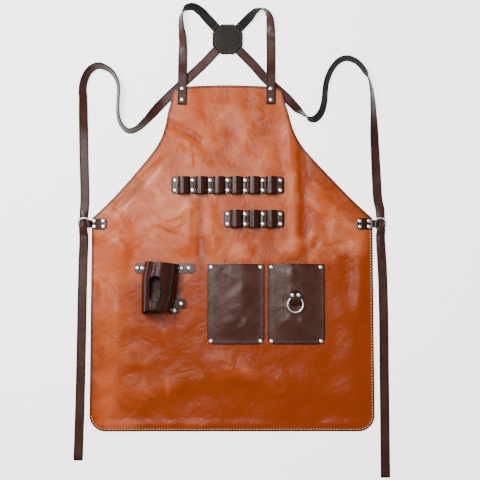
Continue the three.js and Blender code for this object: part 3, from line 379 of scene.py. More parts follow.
def corner_cut(distance, radius):
    """How far a round corner steps in, at a distance from its end."""
    inside = np.clip(radius - distance, 0, radius)
    return radius - np.sqrt(radius**2 - inside**2)


def spaced(total, step, rims=(0.25, 0.7, 1.6, 3.0, 5.5)):
    """Places along a width, close together beside both rims."""
    near = [rim for rim in rims if rim < total / 2]
    inner = np.linspace(near[-1], total - near[-1], max(int(total / step), 2))
    return np.concatenate([[0], near[:-1], inner, total - np.array(near[:-1])[::-1], [total]])


def through(points, per_segment=12):
    """A smooth line through points, close to the middle of each bend."""
    points = np.asarray(points, float)
    ends = [2 * points[0] - points[1], *points, 2 * points[-1] - points[-2]]
    shares = np.linspace(0, 1, per_segment, endpoint=False)[:, None]
    line = []
    for before, start, end, after in zip(ends, ends[1:], ends[2:], ends[3:]):
        legs = (start - before, end - start, after - end)
        came, gap, goes = (max(np.linalg.norm(leg) ** 0.5, 1e-4) for leg in legs)
        leave = legs[0] / came - (end - before) / (came + gap) + legs[1] / gap
        reach = legs[1] / gap - (after - start) / (gap + goes) + legs[2] / goes
        cubic = 2 * (start - end) + (leave + reach) * gap
        square = 3 * (end - start) - (2 * leave + reach) * gap
        line.append(cubic * shares**3 + square * shares**2 + leave * gap * shares + start)
    return np.vstack([*line, points[-1:]])


# Meshes. A part is its corners, its faces and the values at its corners.


def quads(rows, size):
    """Faces between closed rings of corners."""
    here = np.arange(rows * size).reshape(rows, size)
    beside = np.roll(here, -1, axis=1)
    return np.stack([here[:-1], beside[:-1], beside[1:], here[1:]], -1).reshape(-1, 4)


def rounded(distance, thickness):
    """The thickness at a distance from the cut edge, so that the edge is round."""
    inside = np.clip(distance / mm("rim"), 0, 1)
    return thickness * (0.35 + 0.65 * np.sqrt(1 - (1 - inside) ** 2))


def skin(centre, normal, thickness, rim, **values):
    """A closed sheet of leather around a grid of places, with rounded cut edges."""
    depth = rounded(rim, thickness)[..., None] / 2
    under = centre - normal * depth
    over = centre + normal * depth
    rings = np.concatenate([under, over[:, ::-1]], axis=1)
    rows, size = rings.shape[:2]
    k = np.arange(size // 2 - 1)
    cap = np.stack([k + 1, k, size - 1 - k, size - 2 - k], -1)
    faces = [*quads(rows, size), *cap, *(cap[:, ::-1] + (rows - 1) * size)]
    sides = np.concatenate([np.zeros(rim.shape), np.ones(rim.shape)], axis=1)
    both = {key: np.concatenate([value, value[:, ::-1]], axis=1) for key, value in values.items()}
    both["rim"] = np.concatenate([rim, rim[:, ::-1]], axis=1)
    both["front"] = sides
    return rings.reshape(-1, 3), faces, {key: value.ravel() for key, value in both.items()}


def body(rings, marks=None, flip=False):
    """A closed body from its rings of corners, with a face over each end."""
    rows, size = rings.shape[:2]
    faces = [*quads(rows, size), np.arange(size)[::-1], np.arange((rows - 1) * size, rows * size)]
    return rings.reshape(-1, 3), [face[::-1] for face in faces] if flip else faces, marks or {}


def make(name, parts, finish, nodes=(), crease=45):
    """Joins parts into one piece that rides on the frame and stands for its nodes."""
    corners, faces, values = [], [], {}
    start = 0
    for points, sides, marks in parts:
        corners.append(points)
        faces.extend((np.array(side) + start).tolist() for side in sides)
        for key, plain in (("rim", 9.0), ("front", 1.0), ("shade", 0.0), ("pull", 0.0)):
            values.setdefault(key, []).append(marks.get(key, np.full(len(points), plain)))
        start += len(points)
    mesh = bpy.data.meshes.new(name)
    mesh.from_pydata(((np.vstack(corners) + HEM_MIDDLE) * MM).tolist(), [], faces)
    for key, rows in values.items():
        attribute = mesh.attributes.new(key, "FLOAT", "POINT")
        attribute.data.foreach_set("value", np.concatenate(rows).astype(np.float32))
    mesh.validate()
    mesh.shade_smooth()
    mesh.set_sharp_from_angle(angle=math.radians(crease))
    mesh.materials.append(finish_named(finish))
    piece = bpy.data.objects.new(name, mesh)
    bpy.context.scene.collection.objects.link(piece)
    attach(piece, "root")
    if nodes:
        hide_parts(*nodes)
    return piece


# A stitch's rings: shares of its length, and of the thread's radius for its width and height
STITCH_ALONG = np.array([-0.5, -0.42, -0.2, 0.2, 0.42, 0.5])
STITCH_WIDTHS = np.array([0.35, 0.8, 1.0, 1.0, 0.8, 0.35])
STITCH_HEIGHTS = np.array([-0.5, 0.2, 0.55, 0.55, 0.2, -0.5])
THREAD_SIDES = 6


def stitches(name, lines, finish, pitch=None, gaps=()):
    """Short threads along lines of places and normals, with none in the boxes of the gaps."""
    pitch = pitch or mm("stitch_pitch")
    return make(name, [part for line in lines for part in seam_parts(*line, pitch, gaps)], finish)


def seam_parts(line, normals, pitch, gaps):
    """Each stitch of one seam, without those that are pressed onto the floor."""
    along = travelled(line)
    columns = np.column_stack([line, np.broadcast_to(normals, line.shape)]).T
    length, radius = pitch * mm("stitch_length") / mm("stitch_pitch"), mm("thread_width") / 2
    count = max(int(along[-1] / pitch), 1)
    around = np.linspace(0, 2 * np.pi, THREAD_SIDES, endpoint=False)
    parts = []
    for place in (np.arange(count) + 0.5) * along[-1] / count:
        back, here, front = (
            np.array([np.interp(place + step, along, column) for column in columns])
            for step in (-length / 2, 0, length / 2))
        spot, normal = here[:3], here[3:]
        pressed_down = spot[2] < 2 * radius and normal[2] < -0.5
        in_gap = any(np.all(low[:2] < spot[:2]) and np.all(spot[:2] < high[:2]) for low, high in gaps)
        if pressed_down or in_gap:
            continue
        ahead = unit(front[:3] - back[:3])
        side = unit(np.cross(ahead, normal))
        up = np.cross(side, ahead)
        spine = spot + np.outer(STITCH_ALONG * length, ahead) + np.outer(STITCH_HEIGHTS * radius, up)
        circle = np.outer(np.cos(around), side) + np.outer(np.sin(around), up)
        parts.append(body(spine[:, None] + circle * (STITCH_WIDTHS * radius)[:, None, None], flip=True))
    return parts


# Panel

# Half the panel's width down the armhole. Down is a share of the armhole's length and out
# a share of the way from half the bib's width to half the skirt's.
ARMHOLE_DOWN = (0, 0.148, 0.191, 0.304, 0.38, 0.455, 0.53, 0.604, 0.679, 0.791, 0.866, 0.94, 1)
ARMHOLE_OUT = (0, 0.038, 0.059, 0.098, 0.141, 0.205, 0.294, 0.395, 0.501, 0.663, 0.776, 0.896, 1)

# Soft ridges, and valleys where the height is negative. Across is a share of half the skirt's
# width, along and length are shares of the apron's length, the angle is turned from +X, and
# width and height are millimetres.
FOLDS = (
    # across, along, angle, length, width, height
    (-0.37, 0.84, -34, 0.10, 12, 3.4), (-0.29, 0.78, 97, 0.08, 10, 2.6), (0.42, 0.75, 92, 0.27, 15, 5.0),
    (0.33, 0.62, 92, 0.10, 9, 1.8), (-0.78, 0.54, -62, 0.16, 22, 5.2), (-0.31, 0.58, 88, 0.18, 13, 4.0),
    (-0.23, 0.57, 92, 0.15, 9, -3.0), (-0.14, 0.58, 94, 0.16, 12, 2.8), (-0.50, 0.60, 20, 0.09, 11, 1.6),
    (0.5, 0.53, 40, 0.09, 11, 2.6), (0.58, 0.50, 52, 0.07, 8, 1.8), (0.74, 0.6, -44, 0.14, 19, 3.4),
    (0.9, 0.47, 90, 0.19, 15, 3.8), (-0.84, 0.27, 86, 0.34, 30, 4.0), (0.85, 0.2, 96, 0.22, 28, 3.2),
    (-0.3, 0.14, 12, 0.26, 25, 2.6), (0.45, 0.13, -10, 0.24, 25, 2.4), (-0.55, 0.019, 0, 0.22, 9, 2.2),
    (0.04, 0.019, 0, 0.12, 9, 1.8), (0.8, 0.02, 0, 0.09, 9, 2.2), (-0.72, 0.680, 47, 0.16, 9, -4.2),
    (-0.81, 0.569, -50, 0.14, 11, -3.4), (-0.37, 0.869, -30, 0.09, 8, -3.0),
    (0.50, 0.72, 92, 0.3, 12, -3.4),
)

# Thin creases: both ends as shares of half the width and of the length, width and depth.
CREASES = (
    (-0.46, 0.865, -0.285, 0.818, 4.5, -1.6), (-0.285, 0.818, -0.265, 0.762, 4.0, -1.4),
    (-0.265, 0.762, -0.30, 0.735, 4.0, -1.0), (-0.20, 0.765, -0.10, 0.725, 5.0, 0.9),
    (-0.15, 0.785, -0.08, 0.74, 5.0, -0.7), (-0.58, 0.585, -0.36, 0.555, 6.0, -1.0),
    (-0.55, 0.56, -0.34, 0.60, 6.0, 0.9), (0.02, 0.62, 0.22, 0.655, 6.0, 0.8),
    (0.35, 0.515, 0.52, 0.555, 5.0, 1.3), (0.36, 0.50, 0.45, 0.49, 5.0, -0.9),
    (0.44, 0.555, 0.60, 0.505, 6.0, 0.8), (0.62, 0.52, 0.75, 0.60, 8.0, 0.9),
    (-0.02, 0.555, 0.12, 0.60, 6.0, 0.8),
)
PANEL_STEP = 4.2
PANEL_RIMS = (0.25, 0.7, 1.4, 2.4, 3.3, 4.4, 6.5)

# How far inside the holster's box its shade on the panel ends: left, right, foot and top
SHADE_INSETS = (20, 38, 6, 14)
SHADE_DEPTH, SHADE_BLUR = 0.85, 9


def outline_half(y):
    """Half the panel's width at a height above the hem."""
    table = through(np.stack([ARMHOLE_DOWN, ARMHOLE_OUT], -1))
    down = np.clip((APRON_LENGTH - y) / ARMHOLE_LENGTH, 0, 1)
    half = BIB_HALF + np.interp(down, table[:, 0], table[:, 1]) * (SKIRT_HALF - BIB_HALF)
    return half - corner_cut(y, HEM_CORNER_RADIUS) - corner_cut(APRON_LENGTH - y, BIB_CORNER_RADIUS)


def panel_place(column, y):
    """A place on the panel, with the column from -1 at its left edge to 1 at its right."""
    shift = -BIB_SHIFT * ease((y - APRON_LENGTH + ARMHOLE_LENGTH) / ARMHOLE_LENGTH)
    x = shift + column * outline_half(y)
    return x, y - NECK_ARCH * column**2 * ease((y / APRON_LENGTH - 0.9) * 10)


def waves(x, y):
    """Slow unevenness of leather that lies on a table."""
    rows = ((1.0, 0.021, 0.009, 0.3), (1.0, -0.013, 0.024, 1.7), (1.0, 0.034, -0.017, 4.1),
            (1.0, 0.027, 0.031, 2.2), (0.9, -0.041, 0.012, 5.3), (0.8, 0.061, 0.018, 0.9),
            (0.6, -0.052, 0.047, 3.6), (0.5, 0.088, -0.021, 1.2), (0.4, 0.034, 0.097, 5.9))
    return sum(s * np.sin(a * x + b * y + c + 1.3 * np.sin(b * x - a * y)) for s, a, b, c in rows) / 6


def held_flat():
    """Where the panel is held: each place's box and the height of the panel's underside."""
    trims = ("tool_strip_upper", "tool_strip_lower", "pocket_left", "pocket_right", "holster")
    rows = [(*box(node), PANEL_SEAT) for node in trims]
    for side in ("left", "right"):
        rivets = [*box(f"rivet_{side}_tab_outer_lower"), *box(f"rivet_{side}_tab_inner_upper")]
        level = box(f"waist_tab_{side}")[0][2] + mm("trim_thickness") + 0.5
        rows.append((np.min(rivets, axis=0) - 3, np.max(rivets, axis=0) + 3, level))
    on_straps = mm("strap_thickness") + GAP + PANEL_SEAT
    left, right = (middle(f"rivet_{side}_shoulder_upper")[0] for side in ("left", "right"))
    out, floor, top = BIB_HALF * 1.3, APRON_LENGTH * 0.92, APRON_LENGTH * 1.1
    rows.append((np.array([-out, floor]), np.array([left + 14, top]), on_straps))
    rows.append((np.array([right - 14, floor]), np.array([out, top]), on_straps))
    return rows


def creasing(x, y):
    """How far the folds and creases would lift the panel's leather."""
    lift = PANEL_SEAT + 2.2 * waves(x, y)
    for across, along, angle, length, width, height in FOLDS:
        dx, dy = x - across * SKIRT_HALF, y - along * APRON_LENGTH
        lift = lift + height * ridge(dx, dy, angle, length * APRON_LENGTH, width)
    for x0, y0, x1, y1, width, depth in CREASES:
        way = np.array([(x1 - x0) * SKIRT_HALF, (y1 - y0) * APRON_LENGTH])
        reach = way @ way
        dx, dy = x - x0 * SKIRT_HALF, y - y0 * APRON_LENGTH
        share = (dx * way[0] + dy * way[1]) / reach
        beside = (dx * way[1] - dy * way[0]) / math.sqrt(reach)
        within = ease((0.62 - np.abs(share - 0.5)) * 5)
        lift = lift + depth * np.exp(-np.abs(beside / width) ** 1.4) * within
    return lift


def panel_underside(x, y):
    level, free = np.zeros_like(x), np.ones_like(x)
    for low, high, seat in held_flat():
        sideways = np.maximum(np.maximum(low[0] - x, x - high[0]), 0)
        endways = np.maximum(np.maximum(low[1] - y, y - high[1]), 0)
        hold = ease(1 - np.maximum(np.hypot(sideways, endways) - 4, 0) / 34)
        level = np.maximum(level, seat * hold)
        free = free * (1 - hold)
    return level + np.maximum(creasing(x, y), 0) * free


def panel_outline(inset=0.0):
    """The panel's edge, or a line inside it, anticlockwise from the right end of the hem."""
    turn = np.linspace(0, np.pi / 2, 16)
    ys = np.concatenate([HEM_CORNER_RADIUS * (1 - np.cos(turn)),
                         np.arange(HEM_CORNER_RADIUS + 3, APRON_LENGTH - BIB_CORNER_RADIUS, 3),
                         APRON_LENGTH - BIB_CORNER_RADIUS * (1 - np.sin(np.linspace(0, np.pi / 2, 12)))])
    columns = np.linspace(1, -1, 120)[1:-1]
    sides = (panel_place(1.0, ys), panel_place(columns, np.full(118, APRON_LENGTH)),
             panel_place(-1.0, ys[::-1]), panel_place(-columns, np.zeros(118)))
    line = np.vstack([np.stack(side, -1) for side in sides])
    return line + inset * left_of(unit(np.roll(line, -2, axis=0) - np.roll(line, 2, axis=0)))


def distance_to(line, x, y):
    """The distance from places to a closed line."""
    points = np.stack([x.ravel(), y.ravel()], -1)
    best = np.full(len(points), 1e9)
    for a, b in zip(line, np.roll(line, -1, axis=0)):
        way = b - a
        share = np.clip(((points - a) @ way) / max(way @ way, 1e-9), 0, 1)
        best = np.minimum(best, np.linalg.norm(points - a - share[:, None] * way, axis=1))
    return best.reshape(x.shape)


def on_panel(x, y):
    """Places on the panel's front face."""
    return np.stack([x, y, panel_underside(x, y) + mm("panel_thickness")], -1)


def holster_shade(x, y):
    """The soft shade on the panel under the holster."""
    low, high = box("holster")
    left, right, foot, top = SHADE_INSETS
    beside = np.maximum(low[0] + left - x, x - high[0] + right)
    endways = np.maximum(low[1] + foot - y, y - high[1] + top)
    return SHADE_DEPTH * ease(1 - np.maximum(beside, endways) / SHADE_BLUR)


class APRON_OT_panel(bpy.types.Operator):
    """Make the one-piece bib and skirt with its border stitches"""

    bl_idname = "apron.panel"
    bl_label = "Panel"

    def execute(self, context):
        shares = spaced(2 * SKIRT_HALF, PANEL_STEP, PANEL_RIMS) / SKIRT_HALF - 1
        x, y = panel_place(*np.meshgrid(shares, spaced(APRON_LENGTH, PANEL_STEP, PANEL_RIMS)))
        line = panel_outline()
        thickness = mm("panel_thickness")
        centre = on_panel(x, y) - UP * thickness / 2
        # pull carries the folds' lift to the colour: paler ridges, and painted shade in the valleys.
        part = skin(centre, UP, thickness, distance_to(line, x, y), shade=holster_shade(x, y),
                    pull=creasing(x, y) - PANEL_SEAT)
        piece = make("apron_panel_leather", [part], "panel_leather", ["apron_panel"])
        ahead = np.roll(line, -1, axis=0)
        area = abs(np.sum(line[:, 0] * ahead[:, 1] - line[:, 1] * ahead[:, 0])) / 2
        seam = panel_outline(mm("stitch_inset"))
        seam = on_panel(*np.vstack([seam, seam[:1]]).T)
        turn = np.argmax(seam[:, 1] > middle("waist_tab_right")[1])
        foot = len(seam) - np.argmax(seam[::-1, 1] > HEM_CORNER_RADIUS)
        gaps = [box(f"waist_tab_{side}") for side in ("left", "right")]
        for low, high in (box(f"rivet_{side}_shoulder_upper") for side in ("left", "right")):
            gaps.append((low - 6, high + 6))
        # The border is one thread; along the armholes, the neck and the left side it is drawn darker as
        # painted shade.
        pale = [(seam[:turn], UP), (seam[foot - 1:], UP)]
        stitches("panel_stitches_pale", pale, "thread", gaps=gaps)
        stitches("panel_stitches_dark", [(seam[turn:foot], UP)], "dark_thread", gaps=gaps)
        return {"FINISHED"}


# Straps

# Each row is a place on a strap's middle line: across is a share of half the skirt's width,
# along one of the apron's length, and turn how far the strap has rolled over, with 0 for
# its front up and 180 for its back up. A strap lies on the floor. A shoulder strap's first
# rows lie on the bib, at BIB_TOP.
BIB_TOP = 5.9
ROWS_ON_BIB = 3
LEFT_SHOULDER = (
    # across, along, turn
    (-0.361, 0.941, 0), (-0.359, 0.998, 0), (-0.358, 1.031, 0), (-0.358, 1.074, 0), (-0.357, 1.134, 30),
    (-0.368, 1.171, 52), (-0.371, 1.197, 62), (-0.365, 1.211, 72), (-0.353, 1.221, 90),
    (-0.327, 1.230, 115), (-0.284, 1.232, 128), (-0.237, 1.222, 145), (-0.180, 1.199, 172),
)
RIGHT_SHOULDER = (
    (0.277, 0.942, 0), (0.279, 0.998, 0), (0.279, 1.031, 0), (0.281, 1.074, 0), (0.279, 1.143, 5),
    (0.274, 1.191, 35), (0.261, 1.209, 62), (0.237, 1.222, 90), (0.204, 1.226, 118), (0.164, 1.219, 140),
    (0.117, 1.199, 168),
)
LEFT_WAIST_TO_RING = (
    (-0.204, 1.065, 0), (-0.330, 1.016, 0), (-0.484, 0.956, 0), (-0.548, 0.927, 20), (-0.614, 0.895, 52),
    (-0.688, 0.868, 66), (-0.745, 0.863, 68), (-0.795, 0.882, 67), (-0.818, 0.912, 67), (-0.819, 0.953, 67),
    (-0.816, 0.983, 68), (-0.827, 1.012, 69), (-0.878, 1.042, 68), (-0.965, 1.056, 60), (-1.030, 1.041, 52),
    (-1.065, 1.013, 46), (-1.075, 0.989, 40), (-1.072, 0.960, 33), (-1.070, 0.920, 24), (-1.064, 0.808, 0),
    (-1.052, 0.662, 0),
)
LEFT_WAIST_FROM_RING = (
    (-1.059, 0.482, 0), (-1.062, 0.402, 0), (-1.064, 0.259, 0), (-1.068, 0.089, 0), (-1.076, -0.082, 0),
)
RIGHT_WAIST_TO_RING = (
    (0.150, 1.062, 0), (0.245, 1.018, 0), (0.394, 0.962, 0), (0.458, 0.933, 20), (0.515, 0.911, 62),
    (0.561, 0.897, 112), (0.600, 0.900, 133), (0.638, 0.918, 135), (0.660, 0.947, 132), (0.669, 0.983, 129),
    (0.681, 1.012, 126), (0.717, 1.046, 122), (0.768, 1.070, 117), (0.826, 1.078, 112), (0.897, 1.067, 108),
    (0.954, 1.040, 107), (0.986, 1.012, 71), (1.002, 0.981, 62), (1.012, 0.938, 50), (1.021, 0.838, 20),
    (1.033, 0.720, 0), (1.041, 0.662, 0),
)
RIGHT_WAIST_FROM_RING = (
    (1.067, 0.459, 0), (1.072, 0.344, 0), (1.072, 0.174, 0), (1.072, 0.032, 0), (1.072, -0.130, 0),
)

# Where a strap threads its ring. Across and along are shares of the strap's width from the
# ring's middle, rise one of the ring's radius, and cup how far the halves tip, in degrees.
RING_LANE = (
    # across, along, rise, cup
    (-0.05, 1.6, 0, 6), (-0.1, 0.8, 0, 22), (-0.15, 0.45, 0, 30), (-0.15, 0.2, 0.04, 36),
    (-0.15, 0, 0.18, 37), (-0.155, -0.2, 0.4, 37), (-0.155, -0.36, 0.52, 36), (-0.12, -0.66, 0.47, 27),
    (-0.06, -1.3, 0.18, 12),
)
PATCH_SEAT = 2.3
STRAP_PITCH = 4.3
RING_WIRE = 3
STRAP_INSET = 2.4
STRAP_STEP = 3.2
STRAP_RIMS = (0.25, 0.7, 1.5, 2.3, 3.2)
STEPS_PER_ROW = 14


def strap_rows(route, on_bib=0):
    """A route's rows in millimetres: place, height, turn and cup. The first may lie on the bib."""
    return [(across * SKIRT_HALF, along * APRON_LENGTH, BIB_TOP if k < on_bib else 0, turn, 0)
            for k, (across, along, turn) in enumerate(route)]


def ring_rows(side):
    """The rows of a strap's way through its ring."""
    low, high = box("waist_ring_right" if side > 0 else "waist_ring_left")
    centre = (low + high) / 2
    radius = (high[0] - low[0] - RING_WIRE) / 2
    width = mm("strap_width")
    return [(centre[0] - side * across * width, centre[1] + along * width, rise * radius, 0, cup)
            for across, along, rise, cup in RING_LANE]


def patch_rows(sideways, upwards, turn):
    """The rows of a strap's end between the patches."""
    centre = middle("crossback_patch_back")
    away = [math.sqrt(0.5) * (distance * mm("strap_width") + GAP) for distance in (0.52, 1.7)]
    return [(centre[0] + sideways * k, centre[1] + upwards * k, PATCH_SEAT, turn, 0) for k in away]


def strap_part(rows):
    """A strap's leather along its rows, rolled and cupped as they say, and its two seams."""
    values = np.array(rows, float)
    line = through(values[:, :2], STEPS_PER_ROW)
    shares = ease(np.tile(np.linspace(0, 1, STEPS_PER_ROW, endpoint=False), len(rows) - 1))
    start, end = (np.repeat(part, STEPS_PER_ROW, axis=0) for part in (values[:-1, 2:], values[1:, 2:]))
    lift, turn, cup = np.vstack([start + (end - start) * shares[:, None], values[-1:, 2:]]).T
    ahead = unit(np.gradient(line, axis=0))
    sideways = np.stack([ahead[:, 1], -ahead[:, 0], np.zeros(len(line))], -1)[:, None]
    width, thickness = mm("strap_width"), mm("strap_thickness")
    bend = np.radians(2 * cup)[:, None] / (width / 2) + 1e-6
    roll = np.radians(turn)[:, None]

    def section(across):
        """Places across the strap and their normals, before it is set down."""
        lean = across * bend
        side, rise = np.sin(lean) / bend, (np.cos(lean) - 1) / bend
        flat, tall = side * np.cos(roll) - rise * np.sin(roll), side * np.sin(roll) + rise * np.cos(roll)
        out, up = np.sin(lean - roll), np.cos(lean - roll)
        return [u[..., None] * sideways + w[..., None] * UP for u, w in ((flat, tall), (out, up))]

    across = spaced(width, STRAP_STEP, STRAP_RIMS) - width / 2
    centre, normal = section(across)
    steps = travelled(line)
    rim = np.minimum(width / 2 - np.abs(across), np.minimum(steps, steps[-1] - steps)[:, None])
    lowest = (centre[..., 2] - np.abs(normal[..., 2]) * rounded(rim, thickness) / 2).min(axis=1)
    ground = np.column_stack([line, lift - lowest])[:, None]
    inset = width / 2 - STRAP_INSET
    edges, leans = section(np.array([-inset, inset]))
    edges = edges + ground + leans * thickness / 2
    return skin(centre + ground, normal, thickness, rim), [(edges[:, k], leans[:, k]) for k in (0, 1)]


class APRON_OT_straps(bpy.types.Operator):
    """Make the shoulder straps and the waist straps"""

    bl_idname = "apron.straps"
    bl_label = "Straps"

    def execute(self, context):
        routes = {}
        for name, side, shoulder, before, after in (
            ("left", -1, LEFT_SHOULDER, LEFT_WAIST_TO_RING, LEFT_WAIST_FROM_RING),
            ("right", 1, RIGHT_SHOULDER, RIGHT_WAIST_TO_RING, RIGHT_WAIST_FROM_RING),
        ):
            over = [*strap_rows(shoulder, ROWS_ON_BIB), *patch_rows(side, 1, 180)[::-1]]
            under = [*patch_rows(side, -1, 0), *strap_rows(before), *ring_rows(side), *strap_rows(after)]
            routes |= {f"shoulder_strap_{name}": over, f"waist_strap_{name}": under}
        for node, rows in routes.items():
            part, seams = strap_part(rows)
            make(f"{node}_leather", [part], "strap_leather", [node])
            stitches(f"{node}_stitches", seams, "strap_thread", STRAP_PITCH)
        return {"FINISHED"}


# Patch

PATCH_SAG = 1.2
PATCH_INSETS = np.array([26, 20, 14, 9, 5.5, 3, 1.6, 0.7, 0.25, 0])
PATCH_SEAM_INSET = 4
BAR_HALF = 8.5
BAR_DISTANCES = (3, 6.5)


def octagon_reach(angles, apothem):
    """The radius of an octagon with rounded corners, at angles."""
    facing = [np.clip(np.cos(angles - k * np.pi / 4), 0, 1) ** 110 for k in range(8)]
    return apothem / sum(facing) ** (1 / 110)


def patch_sag(reach, apothem, angles):
    """How far the front patch sinks between the straps."""
    return PATCH_SAG * ease((reach - apothem * 0.45) / (apothem * 0.5)) * np.cos(2 * angles) ** 2


def patch_part(node, draped):
    low, high = box(node)
    centre = (low + high) / 2
    apothem = (high[0] - low[0]) / 2
    angles = np.linspace(0, 2 * np.pi, 96, endpoint=False)
    reach = octagon_reach(angles, apothem)
    radii = reach - PATCH_INSETS[:, None] * reach / apothem
    rim = np.broadcast_to(PATCH_INSETS[:, None], radii.shape)
    depth = rounded(rim, high[2] - low[2]) / 2
    x, y = centre[0] + radii * np.cos(angles), centre[1] + radii * np.sin(angles)
    z = centre[2] - patch_sag(radii, apothem, angles) * draped
    rings = np.concatenate([np.stack([x, y, z + depth], -1), np.stack([x, y, z - depth], -1)[::-1]])
    front = np.repeat([1.0, 0.0], rim.size)
    return body(rings, {"rim": np.concatenate([rim, rim[::-1]]).ravel(), "front": front}, flip=True)


class APRON_OT_patch(bpy.types.Operator):
    """Make the two octagons where the straps cross, with their stitches"""

    bl_idname = "apron.patch"
    bl_label = "Patch"

    def execute(self, context):
        for node, draped in (("crossback_patch_back", False), ("crossback_patch_front", True)):
            make(f"{node}_leather", [patch_part(node, draped)], "patch_leather", [node])
        low, high = box("crossback_patch_front")
        centre, apothem = (low + high) / 2, (high[0] - low[0]) / 2
        angles = np.linspace(0, 2 * np.pi, 97)
        reach = octagon_reach(angles, apothem - PATCH_SEAM_INSET)
        seam = np.stack([centre[0] + reach * np.cos(angles), centre[1] + reach * np.sin(angles),
                         high[2] - patch_sag(reach, apothem, angles)], -1)
        stitches("patch_stitches", [(seam, UP)], "trim_thread", STRAP_PITCH)
        bars = []
        for angle in np.radians([45, 135, 225, 315]):
            out = np.array([math.cos(angle), math.sin(angle), 0])
            beside = np.outer(np.linspace(-BAR_HALF, BAR_HALF, 9), (-out[1], out[0], 0))
            for distance in BAR_DISTANCES:
                start = (*centre[:2], PATCH_SEAT + mm("strap_thickness")) + out * (apothem + distance)
                bars.append((start + beside, UP))
        stitches("patch_bar_stitches", bars, "trim_thread", STRAP_PITCH)
        return {"FINISHED"}


# Strips of tool loops

LOOP_SECTION = (
    # across, rise
    (0, 0), (0.045, 0.5), (0.14, 0.79), (0.3, 0.93), (0.43, 1), (0.52, 0.985), (0.7, 0.88), (0.87, 0.69),
    (0.955, 0.44), (1, 0),
)
LOOP_FLAT = 12.4
STRIP_MARGIN = 8
STRIP_CORNER_RADIUS = 5.6
STRIP_PITCH = 3.6
STRIP_RIVET_ROW = 10.7
STRIP_SEAM_HALF = 5.4


def cross_sheet(line, half, thickness, level, swapped=False):
    """A sheet whose profile is a line in X and Z, or in Y and Z, half wide to each side."""
    half = np.broadcast_to(half, len(line))[:, None]
    across = (spaced(2, 0.17, (0.02, 0.05, 0.12, 0.24)) - 1) * half
    steps = travelled(line)
    rim = np.minimum(half - np.abs(across), np.minimum(steps, steps[-1] - steps)[:, None])

    def stood(profile, beside):
        flat = (beside, profile[:, :1]) if swapped else (profile[:, :1], beside)
        return np.stack(np.broadcast_arrays(*flat, profile[:, 1:]), -1)

    normals = left_of(unit(np.gradient(line, axis=0)))
    return skin(stood(line, across + level), stood(normals, 0 * across), thickness, rim)


def strip_line(low, high, loops):
    seat = TRIM_SEAT + mm("trim_thickness") / 2
    rise = high[2] - mm("trim_thickness") / 2 - seat
    pitch = (high[0] - low[0] - 2 * STRIP_MARGIN) / loops
    margin = STRIP_MARGIN + LOOP_FLAT * 0.42
    points = [(low[0], seat), (low[0] + margin, seat)]
    for loop in range(loops):
        left = low[0] + STRIP_MARGIN + loop * pitch + LOOP_FLAT / 2
        points += [(left + across * (pitch - LOOP_FLAT), seat + up * rise) for across, up in LOOP_SECTION]
        points.append((left + pitch - LOOP_FLAT / 2, seat))
    return through([*points[:-1], (high[0] - margin, seat), (high[0], seat)], 5)


class APRON_OT_tool_strips(bpy.types.Operator):
    """Make the two strips that rise into tool loops"""

    bl_idname = "apron.tool_strips"
    bl_label = "Tool strips"

    def execute(self, context):
        top = TRIM_SEAT + mm("trim_thickness")
        for node, loops in (("tool_strip_upper", 6), ("tool_strip_lower", 3)):
            low, high = box(node)
            level = (low[1] + high[1]) / 2
            line = strip_line(low, high, loops)
            from_side = np.minimum(line[:, 0] - low[0], high[0] - line[:, 0])
            half = (high[1] - low[1]) / 2 - corner_cut(from_side, STRIP_CORNER_RADIUS)
            part = cross_sheet(line, half, mm("trim_thickness"), level)
            make(f"{node}_leather", [part], "trim_leather", [node])
            columns = np.linspace(low[0] + STRIP_MARGIN, high[0] - STRIP_MARGIN, loops + 1)
            ys = level + np.linspace(-STRIP_SEAM_HALF, STRIP_SEAM_HALF, 7)
            seams = [(np.column_stack([np.full(7, x), ys, np.full(7, top)]), UP) for x in columns]
            stitches(f"{node}_stitches", seams, "trim_thread", STRIP_PITCH)
            for column, x in enumerate(columns, 1):
                for row, y in (("lower", level - STRIP_RIVET_ROW), ("upper", level + STRIP_RIVET_ROW)):
                    part = rivet_part(x, y, 0, top)
                    make(f"{node}_rivet_{column}_{row}", [part], "nickel")
        return {"FINISHED"}


# Rivets


def rivet_part(x, y, back, seat):
    """A cap with a round edge, its post and its back cap."""
    radius, height = mm("rivet_cap") / 2, mm("rivet_height")
    dome = [(radius * math.cos(a), height * (0.2 + 0.8 * math.sin(a))) for a in np.linspace(0, 1.5, 9)]
    profile = [
        (0.2, back), (3.4, back), (3.8, back + 0.3), (3.6, back + 0.9),
        (RIVET_POST_RADIUS, back + RIVET_BACK_HEIGHT), (RIVET_POST_RADIUS, seat),
        (radius - 0.4, seat), (radius - 0.05, seat + 0.15), *[(r, seat + h) for r, h in dome],
    ]
    around = np.linspace(0, 2 * np.pi, 24, endpoint=False)
    radii, heights = np.array(profile).T[..., None]
    rings = np.stack([x + radii * np.cos(around), y + radii * np.sin(around), heights + 0 * around], -1)
    return body(rings, {"rim": np.repeat(radius - radii, len(around))})


class APRON_OT_rivets(bpy.types.Operator):
    """Make each cap rivet in the place of its solid"""

    bl_idname = "apron.rivets"
    bl_label = "Rivets"

    def execute(self, context):
        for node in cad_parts:
            if node.startswith("rivet_"):
                low, high = box(node)
                x, y = (low[:2] + high[:2]) / 2
                part = rivet_part(x, y, low[2], high[2] - 2)
                make(f"{node}_metal", [part], "nickel", [node])
        return {"FINISHED"}


# Holster

